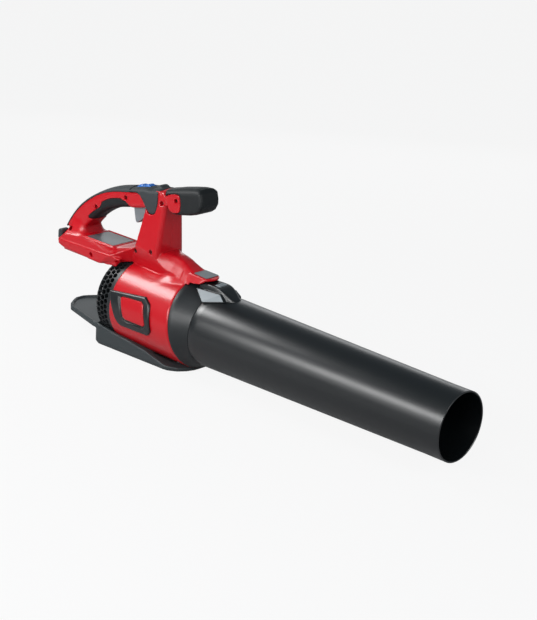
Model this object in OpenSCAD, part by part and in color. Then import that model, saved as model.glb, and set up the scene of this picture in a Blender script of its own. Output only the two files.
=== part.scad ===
// Hand-held cordless axial blower, standing on its base plate.
// X runs forward along the blower tube, Y to the operator's left, Z up.
// The origin is the middle of the base plate's underside, below the barrel.

/* [Barrel] */
// Outside radius of the red barrel
barrel_r = 62; // [58:0.5:64]
// Barrel length behind the origin
barrel_back = 49; // [44:1:60]
// Barrel length in front of the origin, on the axis
barrel_front = 71; // [66:1:80]
// Lean of the barrel's front edge, in degrees
flange_pitch = 11; // [6:0.5:12]
// Wall thickness of the shell halves
wall = 2.6; // [2:0.1:3]
// Height of the barrel's underside above the ground
ground_gap = 3; // [2:0.5:6]
// Gap between pieces that sit side by side
seat_gap = 0.2; // [0.1:0.05:0.3]

/* [Intake grille] */
// Length of the grille behind the barrel
grille_l = 34; // [30:1:36]
// Wall of the grille
grille_wall = 2.4; // [2:0.1:3]
// Honeycomb openings round the grille
grille_count = 36; // [30:2:40]
// Share of the cell pitch left open
grille_open = 0.78; // [0.6:0.02:0.84]

/* [Blower tube] */
// Tube length from its seat to the outlet
tube_l = 419; // [300:1:460]
// Outside radius at the tube's seat
tube_root_r = 53.1; // [51:0.1:55]
// Outside radius at the outlet
outlet_r = 46.5; // [42:0.1:49]
// Wall thickness of the tube
tube_wall = 2.2; // [1.8:0.1:2.6]
// Straight stretch at the outlet
outlet_land = 30; // [20:1:60]
// Length of the front collar's cone
collar_l = 30; // [28:0.5:36]
// Length of the spigot that the tube slides over
spigot_l = 38; // [25:1:45]

/* [Handle] */
// Height of the deck above the barrel
deck_rise = 13; // [11:0.5:16]
// Place of the handle arc's centre along the tool
arc_x = -44; // [-48:0.5:-42]
// Depth of the arc's centre below the deck
arc_drop = 84; // [82:0.5:86]
// Outer radius of the handle arc
grip_r = 178; // [176:0.5:180]
// Thickness of the handle, underside to top
grip_t = 31; // [30:0.5:33]
// Width of the handle
grip_w = 34; // [32:0.5:36]
// Thickness of the dark spine on the handle
spine_t = 8; // [6:0.5:9]
// Rise of the straight top bar, in degrees
bar_slope = 13; // [11:0.5:15]
// Length of the straight top bar
bar_l = 97; // [95:0.5:100]
// Depth of the soft grip under the handle
insert_t = 3; // [2:0.25:4]

/* [Forward knob] */
// Length of the forward knob
knob_l = 65; // [50:1:80]
// Height of the forward knob
knob_h = 38; // [34:0.5:40]
// Width of the forward knob
knob_w = 36; // [34:0.5:40]
// Corner radius of the forward knob
knob_round = 9; // [4:0.5:12]

/* [Riser and nose] */
// Half width of the riser at its foot
riser_foot = 29; // [27:0.5:31]
// Half width of the riser at its head
riser_head = 16.5; // [16:0.25:17]
// Half width of the nose above the tube latch
nose_w = 18; // [17:0.25:19]
// Reach of the nose past the barrel's front edge
nose_reach = 30; // [26:0.5:32]

/* [Battery housing] */
// Length of the battery housing behind the handle arc's centre
housing_l = 142; // [138:0.5:148]
// Half width of the housing at its side crease
housing_w = 41; // [39:0.5:43]
// Half width of the rails at their bottom edge
rail_w = 31.5; // [30:0.5:33]
// Depth of the housing below the deck
housing_h = 32; // [29:0.5:34]
// Half width of the flat deck
deck_w = 24; // [22:0.5:26]
// Drop of the side crease below the deck
crease_drop = 9; // [7:0.5:11]
// Length of the battery bay
bay_l = 78; // [70:1:82]
// Lift of the battery latch
latch_lift = 4; // [3:0.25:4.5]

/* [Trigger and buttons] */
// Pull angle of the trigger, in degrees
trigger_pull = 12; // [8:1:13]
// Width of the trigger
trigger_w = 12; // [9:0.5:13]
// Radius of the trigger's pivot pin
pin_r = 2; // [1.5:0.25:2.5]
// Running clearance round the pin and in the bearings
run_gap = 0.05; // [0.02:0.01:0.08]
// Travel of the blue button
turbo_travel = 2; // [1:0.25:2.5]
// Travel of the tube release button
release_travel = 2.5; // [1.5:0.25:3]

/* [Base plate] */
// Step in from the barrel's side to the base plate's, at the back
base_step = 6; // [3:0.5:8]
// Step in from the barrel's side to the base plate's, at the front
base_front_step = 12; // [9:0.5:16]
// Height of the base plate's rear tongue above the ground
tongue_h = 32; // [28:0.5:34]
// Thickness of the rear tongue
tongue_t = 8; // [5:0.5:9]
// Reach of the rear tongue behind the origin
tongue_reach = 184; // [160:1:190]

/* [Fan and motor] */
// Blades on the fan
blade_count = 11; // [7:1:13]
// Running gap between the fan and its duct
tip_gap = 1; // [0.6:0.1:1.4]
// Stator vanes in the duct
vane_count = 7; // [5:1:9]
// Outside radius of the motor hub
hub_r = 30; // [28:0.5:32]
// Radius of the motor shaft
shaft_r = 3; // [2.5:0.25:4]
// Radius of the rotor
rotor_r = 13; // [11:0.5:14]

/* [Screws] */
// Radius of a housing screw's head
screw_head_r = 3; // [2.5:0.25:3.5]
// Radius of a housing screw's shank
screw_r = 1.6; // [1.25:0.05:1.75]

/* [Hidden] */
$fn = 96;

// Colours
red = [0.78, 0.10, 0.13];
dark = [0.27, 0.30, 0.32];
black = [0.09, 0.10, 0.11];
pale = [0.62, 0.66, 0.67];
steel = [0.70, 0.71, 0.73];
copper = [0.72, 0.42, 0.22];

axis_h = barrel_r + ground_gap;
base_w = barrel_r - base_step;
base_front_w = barrel_r - base_front_step;

// Heights are counted from the fan axis unless a name says otherwise
deck_z = barrel_r + deck_rise;
arc_z = deck_z - arc_drop;
inner_r = barrel_r - wall;
grip_in = grip_r - grip_t;
core_top = grip_r - spine_t;
half_w = grip_w / 2;
arc_front = 90 + bar_slope;
housing_back = arc_x - housing_l;
crease_z = deck_z - crease_drop;
rail_z = deck_z - housing_h;
bay_front = housing_back + bay_l;
bay_roof = deck_z - 14;
seat_x = barrel_front + collar_l;
outlet_x = seat_x + tube_l;
tube_slope = (tube_root_r - outlet_r) / (tube_l - outlet_land);
front_top = barrel_front - barrel_r * tan(flange_pitch);
big = 400;

// Angle on the handle arc at which its outside reaches the given height
function arc_angle(r, z) = 180 - asin((z - arc_z) / r);
function arc_point(r, a) = [arc_x + r * cos(a), arc_z + r * sin(a)];
function bar_point(x, z) = [
  arc_x + x * cos(bar_slope) - z * sin(bar_slope),
  arc_z + x * sin(bar_slope) + z * cos(bar_slope)
];
function mirrored(pts) = concat(pts, [for (i = [len(pts) - 1:-1:0]) [-pts[i].x, pts[i].y]]);

// Housing screws: place on the side, and the half width of the shell there
knob_x0 = bar_l;
knob_top = grip_r - 1.5;
core_mid = (grip_in + core_top) / 2;
screw_spots = [
  [arc_point(core_mid + 3.5, 147), half_w],
  [arc_point(core_mid, 124), half_w],
  [bar_point(10, core_mid + 3), half_w],
  [[housing_back + 72, crease_z - 7], housing_w - 3],
  [[-40, deck_z + 6], riser_foot + 3],
  [[-6, deck_z + 13], riser_foot - 1],
  [bar_point(knob_x0 - 13, grip_in + 7), half_w],
  [bar_point(knob_x0 + 16, knob_top - knob_h / 2), knob_w / 2]
];

// ---------- shared shapes ----------

module at_axis() { translate([0, 0, axis_h]) children(); }

// Drawing in X and Z, made solid across Y
module across(half) {
  rotate([90, 0, 0]) linear_extrude(height = 2 * half, center = true) children();
}

// Drawing in Y and Z, made solid from x0 to x1
module along(x0, x1) {
  translate([x0, 0, 0]) rotate([90, 0, 90]) linear_extrude(height = x1 - x0) children();
}

// Solid turned about the fan axis from a drawing of place and radius
module turned() { rotate([0, 90, 0]) rotate_extrude() children(); }

module disc(x0, x1, r) { translate([x0, 0, 0]) rotate([0, 90, 0]) cylinder(r = r, h = x1 - x0); }

module ring(x0, x1, r0, r1) {
  difference() {
    disc(x0, x1, r1);
    disc(x0 - 1, x1 + 1, r0);
  }
}

module span(x, y, z) {
  translate([x[0], y[0], z[0]]) cube([x[1] - x[0], y[1] - y[0], z[1] - z[0]]);
}

module round_rect(w, h, r) {
  union() {
    square([w - 2 * r, h], center = true);
    square([w, h - 2 * r], center = true);
    for (sx = [-1, 1], sy = [-1, 1])
      translate([sx * (w / 2 - r), sy * (h / 2 - r)]) circle(r = r);
  }
}

// Sector of the handle arc, from radius r0 to r1
module arc_band(r0, r1, half, a0, a1) {
  translate([arc_x, 0, arc_z]) rotate([90, 0, 0]) rotate([0, 0, a0])
    rotate_extrude(angle = a1 - a0) translate([r0, -half]) square([r1 - r0, 2 * half]);
}

module bar_frame() { translate([arc_x, 0, arc_z]) rotate([0, -bar_slope, 0]) children(); }

module cloud(pts) {
  hull() for (p = pts, s = [-1, 1]) translate([p.x, s * p.y, p.z]) cube(0.02, center = true);
}

module ahead_of_flange(shift = 0) {
  translate([barrel_front + shift, 0, 0]) rotate([0, -flange_pitch, 0])
    translate([0, -big / 2, -big / 2]) cube(big);
}

// ---------- shell halves ----------

module barrel_form(r, over) {
  difference() {
    disc(-barrel_back - over, barrel_front + barrel_r, r);
    ahead_of_flange(over);
  }
}

// Outline of the housing across the tool, drawn in by g
function housing_outline(g) = mirrored([
  [-(rail_w - g), rail_z - (g > 0 ? 1 : 0)],
  [-(housing_w - 1.2 * g), crease_z],
  [-(deck_w - 0.4 * g), deck_z - g]
]);

module housing_form(g, x0, x1) { along(x0, x1) polygon(housing_outline(g)); }

module shoulder_form(g) {
  cloud([
    [housing_back + 112 + g, housing_w - g, crease_z],
    [housing_back + 116 + g, rail_w - g, rail_z + 6],
    [-37, riser_foot + 1 - g, deck_z + 12 - g],
    [4 - g, riser_foot - g, deck_z + 12 - g],
    [41 - g, riser_foot - 3 - g, barrel_r + 6 - g],
    [30, barrel_r / 3 - g, barrel_r - 12]
  ]);
}

function riser_outline(g) = [
  [-40 + g, barrel_r - 6], [-38 + g, deck_z + 12],
  bar_point(32 + g, grip_in - 16), bar_point(40 + g, core_top - g),
  bar_point(knob_x0 - g, core_top - g), bar_point(knob_x0 - 9 - g, grip_in - 10),
  [1 - g, deck_z + 12], [1 - g, barrel_r - 6]
];

function riser_width(g) = mirrored([
  [-(riser_foot + 4 - g), barrel_r - 8], [-(riser_foot - g), deck_z + 12],
  [-(riser_head - g), arc_z + grip_in + 4], [-(riser_head - g), arc_z + grip_r + 30]
]);

module riser_form(g) {
  intersection() {
    across(housing_w) polygon(riser_outline(g));
    along(-70, 40) polygon(riser_width(g));
  }
}

nose_top = barrel_r + 11;

module nose_back(g) {
  cloud([
    [4, riser_foot - g, deck_z + 9 - g], [9, nose_w - g, deck_z + 15 - g],
    [27 - g, nose_w - g, deck_z + 12 - g], [40 - g, nose_w - g, deck_z + 7 - g],
    [41 - g, riser_foot - 3 - g, barrel_r + 6 - g],
    [barrel_front - 4, nose_w - g, nose_top + 1 - g],
    [barrel_front - 5, nose_w + 4 - g, barrel_r - 4], [4, nose_w, barrel_r - 6]
  ]);
}

module nose_front(g) {
  tip = barrel_front + nose_reach;
  cloud([
    [barrel_front - 6, nose_w - g, nose_top - g],
    [tip + (g > 0 ? 1 : 0), nose_w - 1 - g, nose_top - g],
    [tip + (g > 0 ? 1 : 0), nose_w - 1 - g, barrel_r + 6 - 2 * g],
    [barrel_front + 14, nose_w + 1 - g, barrel_r + 1.5 - g],
    [barrel_front + 3, nose_w + 2 - g, barrel_r - 2 - g],
    [barrel_front - 6, nose_w + 4 - g, barrel_r - 4 - g]
  ]);
}

module handle_core(r0, r1, half, back) {
  arc_band(r0, r1, half, arc_front, back);
  bar_frame() span([-0.01, knob_x0], [-half, half], [r0, r1]);
}

module shell_outside() {
  barrel_form(barrel_r, 0);
  difference() {
    union() {
      housing_form(0, housing_back, -30);
      shoulder_form(0);
    }
    disc(-big, -barrel_back, barrel_r + seat_gap);
  }
  handle_core(grip_in, core_top, half_w, arc_angle(core_top, deck_z - 4));
  bar_frame() span([saddle_x1 + seat_gap, knob_x0], [-half_w, half_w], [grip_in, grip_r + 1.5]);
  riser_form(0);
  nose_back(0);
  nose_front(0);
  knob_core();
}

module knob_core() {
  bar_frame() {
    span([knob_x0 - 12, knob_x0 + knob_l - 8], [-knob_w / 2 + 4, knob_w / 2 - 4],
      [knob_top - knob_h + 5, knob_top - 5]);
    span([knob_x0 + 4, knob_x0 + 28], [-knob_w / 2, knob_w / 2],
      [knob_top - knob_h + 8, knob_top - 8]);
  }
}

// Soft grip pocket under the handle, with its front end cut on a slant
module grip_pocket(out) {
  a0 = 104;
  a1 = 137;
  difference() {
    arc_band(grip_in - out, core_top - 8, half_w + out, a0, a1);
    arc_band(grip_in + insert_t, core_top + 8, half_w - insert_t, a0 - 1, a1 + 1);
    arc_band(grip_in + 7, core_top, half_w + 5, a1 - 11, a1 + 1);
  }
}

module trigger_room() {
  bar_frame() span([3, 46], [-trigger_w / 2 - 0.6, trigger_w / 2 + 0.6],
    [grip_in - 18, core_top - 4.5]);
}

module shell_hollow() {
  barrel_form(inner_r, 1);
  difference() {
    union() {
      housing_form(wall, bay_front + wall, -30);
      shoulder_form(wall);
    }
    disc(-big, -barrel_back, barrel_r + wall);
  }
  // battery bay, open at the back and below
  intersection() {
    housing_form(wall, housing_back - 1, bay_front);
    span([housing_back - 1, bay_front], [-big, big], [-big, bay_roof]);
  }
  // latch and spring room above the bay's mouth
  span([housing_back - 1, housing_back + 7.5], [-13, 13], [bay_roof - 1, deck_z - wall]);
  handle_core(grip_in + 6, core_top - 3, half_w - 6, arc_angle(core_mid, deck_z + 12));
  riser_form(wall);
  nose_back(wall);
  nose_front(wall);
  trigger_room();
  // room under the nose for the tube's latch block
  span([front_top - 4, big], [-nose_w + wall, nose_w - wall], [-1, block_top + 0.8]);
}

module screw_bosses() {
  for (s = screw_spots) intersection() {
    translate([s[0].x, 0, s[0].y]) rotate([90, 0, 0])
      cylinder(r = screw_head_r + 1.6, h = 2 * s[1], center = true);
    union() {
      handle_core(grip_in, core_top, half_w, arc_angle(core_top, deck_z - 4));
      riser_form(0);
      housing_form(0, housing_back, -30);
      knob_core();
      shoulder_box();
    }
  }
}

module shoulder_box() {
  span([-60, 20], [-riser_foot + 2, riser_foot - 2], [barrel_r + wall, deck_z + 12]);
}

module screw_holes() {
  for (s = screw_spots) translate([s[0].x, 0, s[0].y]) rotate([90, 0, 0]) {
    cylinder(r = screw_r + seat_gap, h = 2 * s[1] - 9, center = true);
    translate([0, 0, s[1] - 6]) cylinder(r = screw_head_r + seat_gap, h = 30);
  }
}

module latch_clearance() {
  span([-big, housing_back + 0.01], [-big, big], [-big, deck_z + 2.5]);
}

module whole_shell() {
  difference() {
    union() {
      difference() {
        shell_outside();
        shell_hollow();
      }
      screw_bosses();
    }
    screw_holes();
    grip_pocket(4);
    trigger_room();
    turbo_well();
    latch_clearance();
    pin_hole(pin_r);
    base_screw_holes(screw_r + run_gap);
    disc(-barrel_back - 1, barrel_front + 1, inner_r - 0.01);
    intersection() {
      disc(0, seat_x + 1, barrel_r + seat_gap);
      ahead_of_flange();
    }
  }
}

module shell_half(side) {
  at_axis() intersection() {
    whole_shell();
    translate([-big, side > 0 ? 0 : -big, -big]) cube([3 * big, big, 2 * big]);
  }
}

module right_shell() { color(red) shell_half(-1); }

module left_shell() { color(red) shell_half(1); }

module screw_solid(half) {
  rotate([90, 0, 0]) {
    translate([0, 0, half - 6]) cylinder(r = screw_head_r, h = 2.4);
    translate([0, 0, -(half - 6)]) cylinder(r = screw_r, h = 2 * half - 12);
  }
}

module housing_screws() {
  color(black) at_axis() for (s = screw_spots) translate([s[0].x, 0, s[0].y]) screw_solid(s[1]);
}

// ---------- handle pieces ----------

// Section of the spine: round shoulders on top
module spine_section() {
  round = spine_t / 2;
  translate([core_top, 0]) union() {
    translate([0, -half_w]) square([spine_t - round, grip_w]);
    translate([0, -half_w + round]) square([spine_t, grip_w - 2 * round]);
    for (s = [-1, 1]) translate([spine_t - round, s * (half_w - round)]) circle(r = round);
  }
}

saddle_x0 = 20;
saddle_x1 = bar_l - 12;

module handle_spine() {
  color(dark) at_axis() difference() {
    union() {
      translate([arc_x, 0, arc_z]) rotate([90, 0, 0]) rotate([0, 0, arc_front])
        rotate_extrude(angle = arc_angle(grip_r, deck_z + 2.5) - arc_front + 1) spine_section();
      bar_frame() rotate([90, 0, 90]) linear_extrude(height = saddle_x0 - seat_gap)
        rotate([0, 0, 90]) spine_section();
    }
    latch_clearance();
  }
}

function saddle_outline() = [
  [saddle_x0, grip_r + 1], [saddle_x0, core_top], [saddle_x0 + 13, core_top - 1],
  [saddle_x0 + 30, grip_in - 4], [saddle_x0 + 38, grip_in - 8.5],
  [saddle_x0 + 46, grip_in - 8.5], [saddle_x0 + 54, grip_in - 1],
  [saddle_x1 - 3, core_top - 5], [saddle_x1, grip_r + 1]
];

module turbo_pocket(grow) {
  bar_frame() translate([39, 0, 0]) linear_extrude(height = big)
    round_rect(28 + 2 * grow, 14 + 2 * grow, 5);
}

module turbo_well() {
  intersection() {
    turbo_pocket(0.4);
    bar_frame() span([-big, big], [-big, big], [core_top - 4, big]);
  }
}

module switch_collar() {
  skin = 2.5;
  color(dark) at_axis() difference() {
    bar_frame() across(half_w + skin) polygon(saddle_outline());
    bar_frame() span([-big, big], [-half_w - 0.1, half_w + 0.1], [0, core_top]);
    turbo_well();
  }
}

module grip_insert() { color(black) at_axis() grip_pocket(0); }

module knob_body(grow) {
  translate([knob_x0 + 0.2, 0, knob_top - knob_h / 2]) rotate([90, 0, 90])
    linear_extrude(height = knob_l) round_rect(knob_w + grow, knob_h, knob_round);
}

module knob_grip() {
  color(black) at_axis() difference() {
    bar_frame() intersection() {
      knob_body(0);
      across(knob_w) translate([knob_x0 + knob_l / 2, knob_top - knob_h / 2])
        round_rect(knob_l, knob_h + 0.01, 12);
    }
    knob_core();
    riser_form(0);
    screw_holes();
  }
}

// ---------- trigger, switches and buttons ----------

pivot = [37, grip_in + 4];

module trigger_outline() {
  polygon([
    [12.5, grip_in - 1], [12.2, grip_in - 11], [12.6, grip_in - 20], [14, grip_in - 23],
    [17, grip_in - 23.5], [35, grip_in - 14.5], [37.5, grip_in - 8],
    [pivot.x + 4, grip_in - 2], [pivot.x + 4.5, pivot.y], [pivot.x + 2, pivot.y + 4],
    [pivot.x - 6, grip_in + 10], [14, grip_in + 10]
  ]);
}

module trigger() {
  color(pale) at_axis() bar_frame() difference() {
    across(trigger_w / 2) trigger_outline();
    translate([pivot.x, 0, pivot.y]) rotate([90, 0, 0])
      cylinder(r = pin_r + run_gap, h = big, center = true);
  }
}

module pin_hole(r) {
  bar_frame() translate([pivot.x, 0, pivot.y]) rotate([90, 0, 0])
    cylinder(r = r, h = grip_w - 5, center = true);
}

module trigger_pin() { color(steel) at_axis() pin_hole(pin_r); }

module trigger_spring() {
  color(steel) at_axis() bar_frame() translate([24, 0, grip_in + 10.1]) difference() {
    cylinder(r = 2.6, h = core_top - 4.6 - grip_in - 10.1);
    translate([0, 0, -1]) cylinder(r = 1.8, h = 30);
  }
}

module trigger_switch() {
  color(black) at_axis() bar_frame() {
    span([-19, 2.6], [-half_w + 6.3, half_w - 6.3], [grip_in + 6.3, core_top - 5]);
    span([2.6, 5], [-3, 3], [core_top - 8, core_top - 5]);
  }
}

// Button with two low lobes on a flat foot
module turbo_button() {
  color([0.08, 0.38, 0.72]) at_axis() {
    intersection() {
      turbo_pocket(0);
      bar_frame() span([0, big], [-big, big], [core_top + 3, grip_r]);
    }
    for (x = [32, 46]) intersection() {
      turbo_pocket(-1);
      bar_frame() translate([x, 0, grip_r - 5]) rotate([90, 0, 0])
        cylinder(r = 8, h = 11, center = true);
      bar_frame() span([0, big], [-big, big], [grip_r - 1, big]);
    }
    bar_frame() translate([39, 0, core_top + 0.4]) cylinder(r = 2.5, h = 5);
  }
}

module turbo_switch() {
  color(black) at_axis() bar_frame()
    span([30, 48], [-7.2, 7.2], [core_top - 3.9, core_top + 0.1 - turbo_travel]);
}

// ---------- battery side ----------

latch_x = housing_back - 12;
latch_low = deck_z - 14;

module battery_latch() {
  color(dark) at_axis() difference() {
    union() {
      difference() {
        span([latch_x, housing_back - 0.3], [-housing_w + 8, housing_w - 8],
          [latch_low, deck_z + 2]);
        span([latch_x - 1, housing_back], [-half_w - 2, half_w + 2],
          [deck_z + 2.2 - latch_lift, deck_z + 3]);
      }
      span([housing_back - 1, housing_back + 7], [-12, 12], [latch_low - 3.5, latch_low + 3]);
    }
    translate([latch_x, 0, latch_low]) rotate([0, 45, 0]) cube([3, big, 3], center = true);
  }
}

module latch_springs() {
  color(steel) at_axis() for (y = [-8, 8])
    translate([housing_back + 3.6, y, latch_low + 3.1]) difference() {
      cylinder(r = 2.6, h = deck_z - wall - latch_low - 3.2);
      translate([0, 0, -1]) cylinder(r = 1.8, h = 30);
    }
}

module terminal_block() {
  color(black) at_axis() difference() {
    span([bay_front - 16, bay_front - 0.1], [-20, 20], [rail_z + 5, bay_roof - 0.1]);
    for (y = [-15, -5, 5, 15]) span([bay_front - 17, bay_front - 4], [y - 2, y + 2],
      [rail_z + 3, bay_roof - 5]);
    translate([screw_spots[3][0].x, 0, screw_spots[3][0].y]) rotate([90, 0, 0])
      cylinder(r = screw_head_r + 1.6 + seat_gap, h = big, center = true);
  }
}

module terminal_blades() {
  color(copper) at_axis() for (y = [-15, -5, 5, 15])
    span([bay_front - 22, bay_front - 4], [y - 0.5, y + 0.5], [rail_z + 6, bay_roof - 7.5]);
}

board_z = barrel_r + wall + 0.3;
board_x0 = bay_front + wall + 4;
board_x1 = board_x0 + 46;

module power_leads() {
  color([0.7, 0.1, 0.1]) at_axis() for (y = [-12, 12])
    translate([bay_front + wall + 0.1, y, board_z + 0.8]) rotate([0, 90, 0])
      cylinder(r = 1.3, h = 3.8);
}

module controller_board() {
  color([0.10, 0.35, 0.18]) at_axis() {
    span([board_x0, board_x1], [-24, 24], [board_z, board_z + 1.6]);
    for (x = [8, 20]) translate([board_x0 + x, -17, board_z + 1.6]) cylinder(r = 4, h = 4);
    span([board_x0 + 4, board_x0 + 16], [8, 20], [board_z + 1.6, board_z + 4]);
  }
}

module heat_sink() {
  color(pale) at_axis() {
    span([board_x0 + 28, board_x1 - 2], [-14, 14], [board_z + 1.6, board_z + 3]);
    for (i = [0:6]) span([board_x0 + 28, board_x1 - 2], [-14 + i * 4.4, -12.4 + i * 4.4],
      [board_z + 3, board_z + 6]);
  }
}

module motor_leads() {
  color([0.15, 0.15, 0.16]) at_axis() for (y = [-3, 0, 3]) {
    translate([board_x1 + 0.1, y, board_z + 1.3]) rotate([0, 90, 0])
      cylinder(r = 1.1, h = strut_x - board_x1 + 1);
    translate([strut_x, y, bore_r + 0.1]) cylinder(r = 1.1, h = board_z + 2.4 - bore_r - 0.1);
  }
}

// ---------- intake, base and trim ----------

grille_end = -barrel_back - grille_l;
cell = 2 * PI * barrel_r / grille_count;
row_step = cell * sqrt(3) / 2;
row_count = floor((grille_l - 8) / row_step);
grille_round = 6;

module grille_skin(g) {
  r = barrel_r - 1 - g;
  turned() polygon(concat(
    [[0, -barrel_back - (g > 0 ? -1 : seat_gap)], [r, -barrel_back - (g > 0 ? -1 : seat_gap)]],
    [for (a = [0:15:90]) [r - grille_round + grille_round * cos(a),
      grille_end + grille_round - grille_round * sin(a) + g]],
    [[0, grille_end + g]]
  ));
}

module grille_cell() { cylinder(r = cell * grille_open / sqrt(3), h = big, $fn = 6); }

module intake_grille() {
  face_rows = floor((barrel_r - 12) / row_step);
  color(black) at_axis() difference() {
    grille_skin(0);
    grille_skin(grille_wall);
    for (row = [0:row_count - 1], i = [0:grille_count - 1])
      translate([-barrel_back - 5 - row_step * (row + 0.5), 0, 0])
        rotate([(i + 0.5 * (row % 2)) * 360 / grille_count, 0, 0])
          translate([0, 0, barrel_r - 12]) rotate([0, 0, 30]) grille_cell();
    for (j = [-face_rows:face_rows], i = [-face_rows:face_rows])
      let (y = cell * (i + 0.5 * abs(j % 2)), z = row_step * j)
        if (norm([y, z]) < barrel_r - 13) translate([grille_end - 1, y, z]) rotate([0, 90, 0])
          cylinder(r = cell * grille_open / sqrt(3), h = grille_wall + 3, $fn = 6);
  }
}

tray_back = -barrel_back - grille_l - 5;
base_front = barrel_front + 14;

module tray_plan() {
  polygon(concat(
    [[tray_back, -base_w + 5], [tray_back + 6, -base_w], [base_front - 26, -base_front_w],
      [base_front - 8, -base_front_w + 12], [base_front, -base_front_w + 34]],
    [[base_front, base_front_w - 34], [base_front - 8, base_front_w - 12],
      [base_front - 26, base_front_w], [tray_back + 6, base_w], [tray_back, base_w - 5]]
  ));
}

module tongue_plan(g) {
  back = -tongue_reach + g;
  polygon(concat(
    [[tray_back + 8, -base_w + g], [-tongue_reach + 25, -base_w + 19 + g],
      [-tongue_reach + 15, -base_w + 27 + g], [-tongue_reach + 5, -base_w + 40 + g],
      [back, -8]],
    [[back, 8], [-tongue_reach + 5, base_w - 40 - g], [-tongue_reach + 15, base_w - 27 - g],
      [-tongue_reach + 25, base_w - 19 - g], [tray_back + 8, base_w - g]]
  ));
}

module base_plate() {
  rim = 2;
  color([0.37, 0.40, 0.41]) difference() {
    union() {
      intersection() {
        linear_extrude(height = tongue_h) tray_plan();
        across(base_w + 1) polygon([
          [tray_back, 0], [base_front, 0], [base_front, 5], [barrel_front - 19, 9],
          [15, 20], [tray_back + 16, tongue_h], [tray_back, tongue_h]
        ]);
      }
      translate([0, 0, tongue_h - tongue_t]) linear_extrude(height = tongue_t) tongue_plan(0);
    }
    translate([0, 0, tongue_h - rim]) linear_extrude(height = big) intersection() {
      tongue_plan(4);
      translate([-big, -big]) square([big + tray_back - 4, 2 * big]);
    }
    at_axis() disc(tray_back + 2, big, barrel_r + seat_gap);
    at_axis() base_screw_holes(screw_r + seat_gap);
    at_axis() base_screw_heads(screw_head_r + seat_gap, 0);
  }
}

base_screw_y = 16;
base_screw_xs = [-36, 44];
base_screw_top = sqrt(pow(inner_r, 2) - pow(base_screw_y, 2)) + 0.5;

module base_screw_holes(r) {
  for (x = base_screw_xs, y = [-base_screw_y, base_screw_y])
    translate([x, y, -axis_h - 1]) cylinder(r = r, h = axis_h + 1 - base_screw_top);
}

module base_screw_heads(r, low) {
  for (x = base_screw_xs, y = [-base_screw_y, base_screw_y])
    translate([x, y, -axis_h + low - 0.01]) cylinder(r = r, h = 1.9 - low);
}

module base_screws() {
  color(steel) at_axis() {
    base_screw_heads(screw_head_r, 0.4);
    intersection() {
      base_screw_holes(screw_r);
      span([-big, big], [-big, big], [-axis_h + 1, 0]);
    }
  }
}

// Badge outlines on the barrel's side, leaning back at the top
badge_outer = [[-51, 27], [17, 34.5], [30, 26], [38, -8.4], [30, -17], [-23.5, -18.6], [-34, -8.3]];
badge_inner = [[-29, 25], [15, 27.5], [24, 22], [29, -3], [23, -7], [-15, -8], [-21, -3]];

module badge_solid(side, outline, r0, r1) {
  intersection() {
    translate([0, side * (barrel_r - 20), 0]) across(barrel_r / 2) polygon(outline);
    ring(-big / 2, big / 2, r0, r1);
  }
}

module badge_frames() {
  color(black) at_axis() for (side = [-1, 1]) difference() {
    badge_solid(side, badge_outer, barrel_r + seat_gap, barrel_r + 3.6);
    badge_solid(side, badge_inner, barrel_r - 1, barrel_r + 5);
  }
}

module badge_panels() {
  color(red) at_axis() for (side = [-1, 1]) intersection() {
    badge_solid(side, badge_inner, barrel_r + seat_gap, barrel_r + 2.4);
    translate([0, 0, 0.1]) badge_solid(side, badge_inner, barrel_r, barrel_r + 3);
  }
}

label_x0 = arc_x - sqrt(pow(grip_in, 2) - pow(arc_drop, 2)) + 18.6;
label_x1 = label_x0 + 56;

module deck_label() {
  color(pale) at_axis() span([label_x0, label_x1], [-deck_w + 3, deck_w - 3],
    [deck_z, deck_z + 0.5]);
}

module nose_decal() {
  color(pale) at_axis() span([barrel_front + 2, barrel_front + nose_reach - 6],
    [-nose_w + 6, nose_w - 6], [nose_top + 0.02, nose_top + 0.5]);
}

// ---------- tube and collar ----------

function tube_outer(x) = x > outlet_x - outlet_land ? outlet_r
  : tube_root_r - (x - seat_x) * tube_slope;

module collar_outside(grow) {
  rear_r = barrel_r - 0.4 + grow;
  hull() {
    intersection() {
      disc(front_top - 2, barrel_front + barrel_r, rear_r, $fn = 64);
      translate([barrel_front, 0, 0]) rotate([0, -flange_pitch, 0])
        translate([0.1, -big / 2, -big / 2]) cube([2, big, big]);
    }
    disc(seat_x - 1, seat_x - 0.4 + grow, tube_root_r + grow, $fn = 64);
  }
}

module front_collar() {
  neck_r = tube_root_r - tube_wall - 2.5;
  color(black) at_axis() {
    difference() {
      collar_outside(0);
      turned() polygon([
        [0, front_top - 20], [inner_r - 3, front_top - 20], [inner_r - 3, barrel_front - 8],
        [neck_r, seat_x - 4], [neck_r, seat_x + 10], [0, seat_x + 10]
      ]);
    }
    difference() {
      ring(front_top - 12, barrel_front + barrel_r, inner_r - 3, inner_r - 0.3);
      ahead_of_flange(1);
    }
    turned() polygon([
      [neck_r, seat_x - 2], [tube_outer(seat_x) - tube_wall - 0.3, seat_x - 2],
      [tube_outer(seat_x) - tube_wall - 0.3, seat_x],
      [tube_outer(seat_x + spigot_l) - tube_wall - 0.3, seat_x + spigot_l],
      [neck_r, seat_x + spigot_l]
    ]);
  }
}

module tube_profile(out) {
  polygon([
    [0, seat_x], [tube_outer(seat_x) - out, seat_x],
    [outlet_r - out, outlet_x - outlet_land], [outlet_r - out, outlet_x], [0, outlet_x]
  ]);
}

block_top = barrel_r + 4.6;
block_x = barrel_front + nose_reach;

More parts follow.
